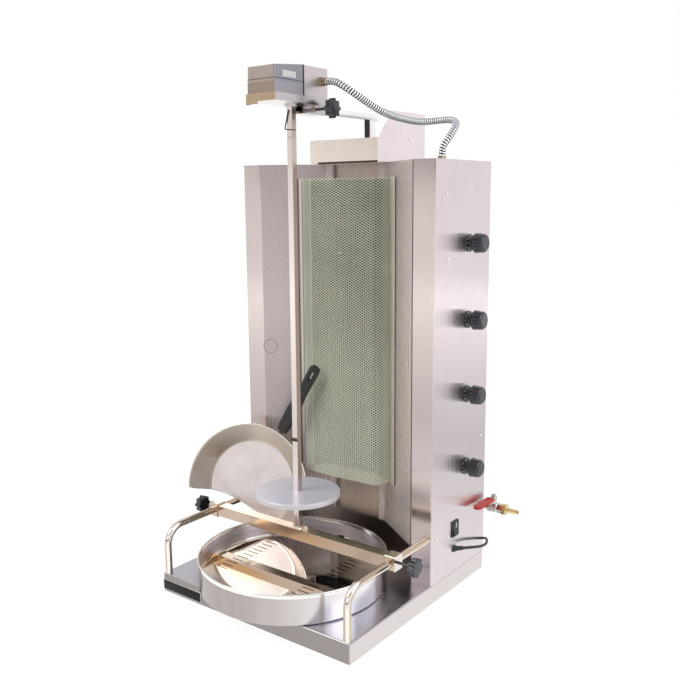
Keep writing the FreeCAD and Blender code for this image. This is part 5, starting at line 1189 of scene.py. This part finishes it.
class GRILL_OT_scoop(Build):
    """Scoop dish, its bracket and its grip."""

    bl_idname = "grill.scoop"
    bl_label = "Scoop"

    centre = np.array([-200.9, -53.4, 198.0])
    across = np.array([0.9226, 0.3858, 0.0])
    upward = np.array([-0.096, 0.2297, 0.9685])
    rim, base, depth = 146.5, 106.4, 37.6
    cut = 260.0
    pan_level = 109.0

    def axes(self):
        """Facing direction, handle direction and the direction across the handle."""
        facing = np.cross(self.across, self.upward)
        facing /= np.linalg.norm(facing)
        a = math.radians(60.0)
        up = self.across * math.cos(a) + self.upward * math.sin(a)
        return facing, up, np.cross(up, facing)

    def build(self, scene):
        self.dish()
        self.grip()

    def kept(self, places):
        """True where the dish is not cut away by the round cut or the level of the pan's rim."""
        facing, up, side = self.axes()
        away = places - (self.centre - up * (48.0 + self.cut) + side * 20.0)
        away = away - (away @ facing)[..., None] * facing
        return (np.linalg.norm(away, axis=-1) > self.cut) & (places[..., 2] > self.pan_level)

    def dish(self):
        """Flat base, slanted wall and rolled rim along rays from the centre, each ray ending at the cut."""
        facing, _, _ = self.axes()
        corner, fineness = 5.0, 900
        reach = np.concatenate([np.linspace(0, self.base - corner, 22),
                                np.linspace(self.base - corner, self.base + corner, 8)[1:],
                                np.linspace(self.base + corner, self.rim, 14)[1:]])
        slope = self.depth / (self.rim - self.base)
        lift = np.clip(reach - self.base, 0, None) * slope
        near = np.abs(reach - self.base) < corner
        lift[near] = (reach[near] - self.base + corner) ** 2 / (4 * corner) * slope
        a = angles(360)[:, None]
        ray = self.across * np.cos(a) + self.upward * np.sin(a)

        def along(r):
            return (self.centre + ray[:, None] * r[:, :, None]
                    + facing * (np.interp(r, reach, lift) - self.depth)[:, :, None])

        fine = np.linspace(0, 1, fineness)
        inside = self.kept(along(fine[None, :] * self.rim))
        ends = np.where(inside.all(1), 1.0, fine[np.argmin(inside, 1)])
        places = along(np.minimum(reach[None, :] / self.rim, ends[:, None]) * self.rim)
        mesh = surface("dish", places * MM, wrap_rows=True)
        paint_columns(mesh, len(reach) - 1, [(23, len(reach), 1)])
        # The floor's near-white is a painted reflection of the bright room; the wall's face colours are painted light.
        floor = steel("scoop_steel", (0.98, 0.91, 0.89), (0.97, 0.90, 0.88), stretch=(24, 24, 24), depth=0.05,
                      cloud=0.10, roughness=0.3, bump=None, metallic=0.8)
        wall = steel("scoop_wall", (0.58, 0.52, 0.46), (0.40, 0.36, 0.33), (0.62, 0.58, 0.54), (0.62, 0.57, 0.50),
                     stretch=(24, 24, 24), depth=0.1, cloud=0.3, roughness=0.32, bump=None)
        shown = piece("scoop_dish", mesh, floor, "scoop", stands_for=("scoop_pan",))
        mesh.materials.append(wall)
        solid = shown.modifiers.new("thickness", "SOLIDIFY")
        solid.thickness = 0.0014
        solid.offset = -1.0
        solid.use_rim = True
        whole = np.where(ends > 0.995)[0]
        start = whole[np.argmax(np.diff(np.concatenate([[whole[-1] - len(a)], whole])))]
        line = (start + np.arange(len(whole))) % len(a)
        bead = surface("rim", tube((self.centre + ray[line] * (self.rim + 0.8)) * MM, 0.0017, 12), wrap_columns=True)
        piece("scoop_rim", bead, chrome(), "scoop")

    def grip(self):
        """Moulded grip: rounded sections along a straight spine, with a hanging slot near the tip, on a bracket."""
        facing, up, side = self.axes()
        root = self.centre + up * (self.rim - 2.0) - facing * 9.0
        tip = np.array([-45.0, 26.0, 494.5])
        run = np.linalg.norm(tip - root)
        lean = (tip - root) / run
        depth = np.cross(lean, side)
        s = np.linspace(10.0, run, 64)
        share = (s - 10.0) / (run - 10.0)
        width = np.interp(share, [0, 0.1, 0.32, 0.62, 0.86, 0.95, 1.0], [26, 31, 32, 24, 27, 26.5, 21])
        thick = np.interp(share, [0, 0.1, 0.5, 0.9, 1.0], [11, 14, 15, 12, 9])
        ends = np.sqrt(np.clip(1 - np.clip((share - 0.955) / 0.045, 0, 1) ** 2, 0.02, 1))
        ends *= np.sqrt(np.clip(1 - np.clip((0.03 - share) / 0.03, 0, 1) ** 2, 0.25, 1))
        mesh = self.bar(root + lean * s[:, None], side, width * ends / 2, depth, thick * np.sqrt(ends) / 2, 0.62)
        skin = moulded("grip_plastic", (0.012, 0.014, 0.012), (0.03, 0.032, 0.03), fineness=700, roughness=0.4)
        shown = piece("scoop_grip", mesh, skin, "scoop", stands_for=("scoop_handle",))
        self.slot(shown, root + lean * (run - 29.0), lean, side, depth)
        foot = root + lean * np.linspace(-7.0, 14.0, 10)[:, None]
        bracket = self.bar(foot, side, np.linspace(11.0, 8.5, 10), depth, np.full(10, 2.0), 0.3)
        piece("scoop_bracket", bracket, chrome(), "scoop")

    def bar(self, spine, side, half_width, depth, half_depth, power):
        """Closed bar: place = spine + side w c + depth d s, with c and s a cosine and sine drawn out by a power."""
        c, s = squared(angles(48), power)
        rings = (spine[:, None] + side * half_width[:, None, None] * c[None, :, None]
                 + depth * half_depth[:, None, None] * s[None, :, None])
        return surface("bar", capped(rings) * MM, wrap_columns=True)

    def face_out(self, mesh):
        """Turns a closed mesh's faces outward where the volume that they enclose comes out negative."""
        mesh.calc_loop_triangles()
        places = np.empty(len(mesh.vertices) * 3)
        mesh.vertices.foreach_get("co", places)
        triangles = np.empty(len(mesh.loop_triangles) * 3, np.int32)
        mesh.loop_triangles.foreach_get("vertices", triangles)
        places = places.reshape(-1, 3)
        a, b, c = ((places - places.mean(0))[triangles.reshape(-1, 3)[:, k]] for k in range(3))
        if np.einsum("ij,ij->", a, np.cross(b, c)) < 0:
            mesh.flip_normals()

    def slot(self, grip, middle, lean, side, depth):
        """Hanging slot: a long round-ended cutter through the grip, taken away by a boolean."""
        half_length, radius, reach = 8.5, 3.6, 14.0
        t = angles(40)[:, None]
        outline = (middle + lean * (half_length * np.sign(np.cos(t)) + radius * np.cos(t))
                   + side * (radius * np.sin(t)))
        places = capped(outline[None] + depth * np.array([-reach, reach])[:, None, None])
        mesh = surface("slot_cutter", places * MM, wrap_columns=True)
        self.face_out(mesh)
        cutter = bpy.data.objects.new("slot_cutter", mesh)
        bpy.context.scene.collection.objects.link(cutter)
        cut = grip.modifiers.new("slot", "BOOLEAN")
        cut.operation = "DIFFERENCE"
        cut.solver = "EXACT"
        cut.object = cutter
        bpy.context.view_layer.update()
        whole = bpy.data.meshes.new_from_object(grip.evaluated_get(bpy.context.evaluated_depsgraph_get()))
        grip.modifiers.clear()
        grip.data = whole
        bpy.data.objects.remove(cutter)


class GRILL_OT_gas(Build):
    """Knobs, bezels, pipes and valve."""

    bl_idname = "grill.gas"
    bl_label = "Gas"

    def build(self, scene):
        dress(black_plastic(), *("gas_knob_%d" % n for n in range(1, BURNERS + 1)))
        dress(moulded("bezel_black", (0.02, 0.02, 0.021), roughness=0.3), "knob_bezels")
        # Face colours of the brass and nickel are painted light.
        brass = steel("pale_brass", (0.74, 0.57, 0.27), (0.84, 0.68, 0.36), (0.7, 0.54, 0.26), (0.86, 0.72, 0.42),
                      stretch=(60, 60, 60), depth=0.08, cloud=0.1, roughness=0.2)
        dress(brass, "hose_tail", "gas_taps", *("gas_stem_%d" % n for n in range(1, BURNERS + 1)))
        dress(steel("pipe_steel", (0.5, 0.5, 0.5), stretch=(40, 40, 200), roughness=0.4), "gas_pipes")
        dress(steel("nickel", (0.62, 0.58, 0.52), (0.74, 0.72, 0.68), (0.6, 0.57, 0.52), (0.8, 0.78, 0.74),
                    stretch=(60, 60, 60), depth=0.08, cloud=0.1, roughness=0.2), "valve_body")
        dress(self.lever_paint(), "valve_lever")
        self.marks()

    def lever_paint(self):
        """Red dipped sleeve towards the front, plated steel near the stem, parted by depth."""
        name = "lever_finish"
        shade = blank(name)
        red = shade.math("LESS_THAN", shade.parts(shade.place())[1], 0.2665)
        skin = placed(shade, "Moulded skin", Color=(0.62, 0.012, 0.012, 1), Worn=(0.7, 0.04, 0.03, 1),
                      Fineness=500.0, Roughness=0.3, Spread=0.1)
        tone = shade.mix(red, (0.62, 0.60, 0.56, 1), skin["Color"])
        rough = shade.add("Mix", red, None, 0.24, skin["Roughness"])
        material = finish_with(name, tone, rough.outputs[0], skin["Height"], (0.1, 0.0001), 0.0)
        shade.put(material.node_tree.nodes["Principled BSDF"].inputs["Metallic"], shade.math("SUBTRACT", 1.0, red))
        return material

    def marks(self):
        """White pointer on each knob's skirt and a ring of white dots on its bezel."""
        y, lowest, pitch, ring = 173.0, 276.5, 166.5, 15.9
        for i in range(BURNERS):
            z = lowest + pitch * i
            box_piece("knob_pointer_%d" % (i + 1), (280.0, y - 1.1, z + 19.6), (291.0, y + 1.1, z + 21.4), 0.4,
                      mark_white(), "gas_knob_%d" % (i + 1))
            dots = []
            for a in np.radians(range(75, 286, 35)):
                lo = np.array([264.6, y + ring * math.cos(a) - 1.5, z + ring * math.sin(a) - 1.5])
                dots.append(surface("dot", rounded_box(lo * MM, (lo + (0.8, 3.0, 3.0)) * MM, 0.00035),
                                    wrap_columns=True))
            piece("bezel_dots_%d" % (i + 1), joined(dots, "dots"), mark_white(), "grill")


class GRILL_OT_electric(Build):
    """Switch and its rocker."""

    bl_idname = "grill.electric"
    bl_label = "Electric"

    def build(self, scene):
        dress(moulded("switch_black", (0.016, 0.016, 0.017), roughness=0.5), "switch_housing")
        dress(moulded("rocker_black", (0.02, 0.02, 0.022), roughness=0.22, bump=None), "switch_rocker")
        box_piece("rocker_mark", (266.3, 126.2, 146.5), (267.2, 129.8, 157.5), 0.3, mark_white(), "rocker")


class GRILL_PT_panel(bpy.types.Panel):
    """Lists the grill's groups of pieces."""

    bl_label = "Vertical spit grill"
    bl_idname = "GRILL_PT_panel"
    bl_space_type = "VIEW_3D"
    bl_region_type = "UI"
    bl_category = "Grill"

    def draw(self, context):
        for operator in OPERATORS:
            self.layout.operator(operator.bl_idname)
        for name in SETTINGS:
            box = self.layout.box()
            group = getattr(context.scene, name)
            for key in group.bl_rna.properties.keys():
                if key not in ("rna_type", "name"):
                    box.prop(group, key)


SETTINGS = {
    "grill_steel": GrillSteelSettings,
    "grill_guard": GrillGuardSettings,
    "grill_cord": GrillCordSettings,
    "grill_studio": GrillStudioSettings,
}
OPERATORS = (GRILL_OT_stage, GRILL_OT_cord, GRILL_OT_housing, GRILL_OT_guard, GRILL_OT_drive, GRILL_OT_spit,
             GRILL_OT_pan, GRILL_OT_scoop, GRILL_OT_gas, GRILL_OT_electric)


def register():
    """Registers the settings, the operators and the panel."""
    for name, group in SETTINGS.items():
        bpy.utils.register_class(group)
        setattr(bpy.types.Scene, name, PointerProperty(type=group))
    for shown in (*OPERATORS, GRILL_PT_panel):
        bpy.utils.register_class(shown)


def unregister():
    """Takes away what register added."""
    for shown in (GRILL_PT_panel, *reversed(OPERATORS)):
        bpy.utils.unregister_class(shown)
    for name, group in SETTINGS.items():
        delattr(bpy.types.Scene, name)
        bpy.utils.unregister_class(group)


def main():
    """Registers the add-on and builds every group."""
    register()
    bpy.ops.grill.stage()
    bpy.ops.grill.cord()
    bpy.ops.grill.housing()
    bpy.ops.grill.guard()
    bpy.ops.grill.drive()
    bpy.ops.grill.spit()
    bpy.ops.grill.pan()
    bpy.ops.grill.scoop()
    bpy.ops.grill.gas()
    bpy.ops.grill.electric()


if __name__ == "__main__":
    main()
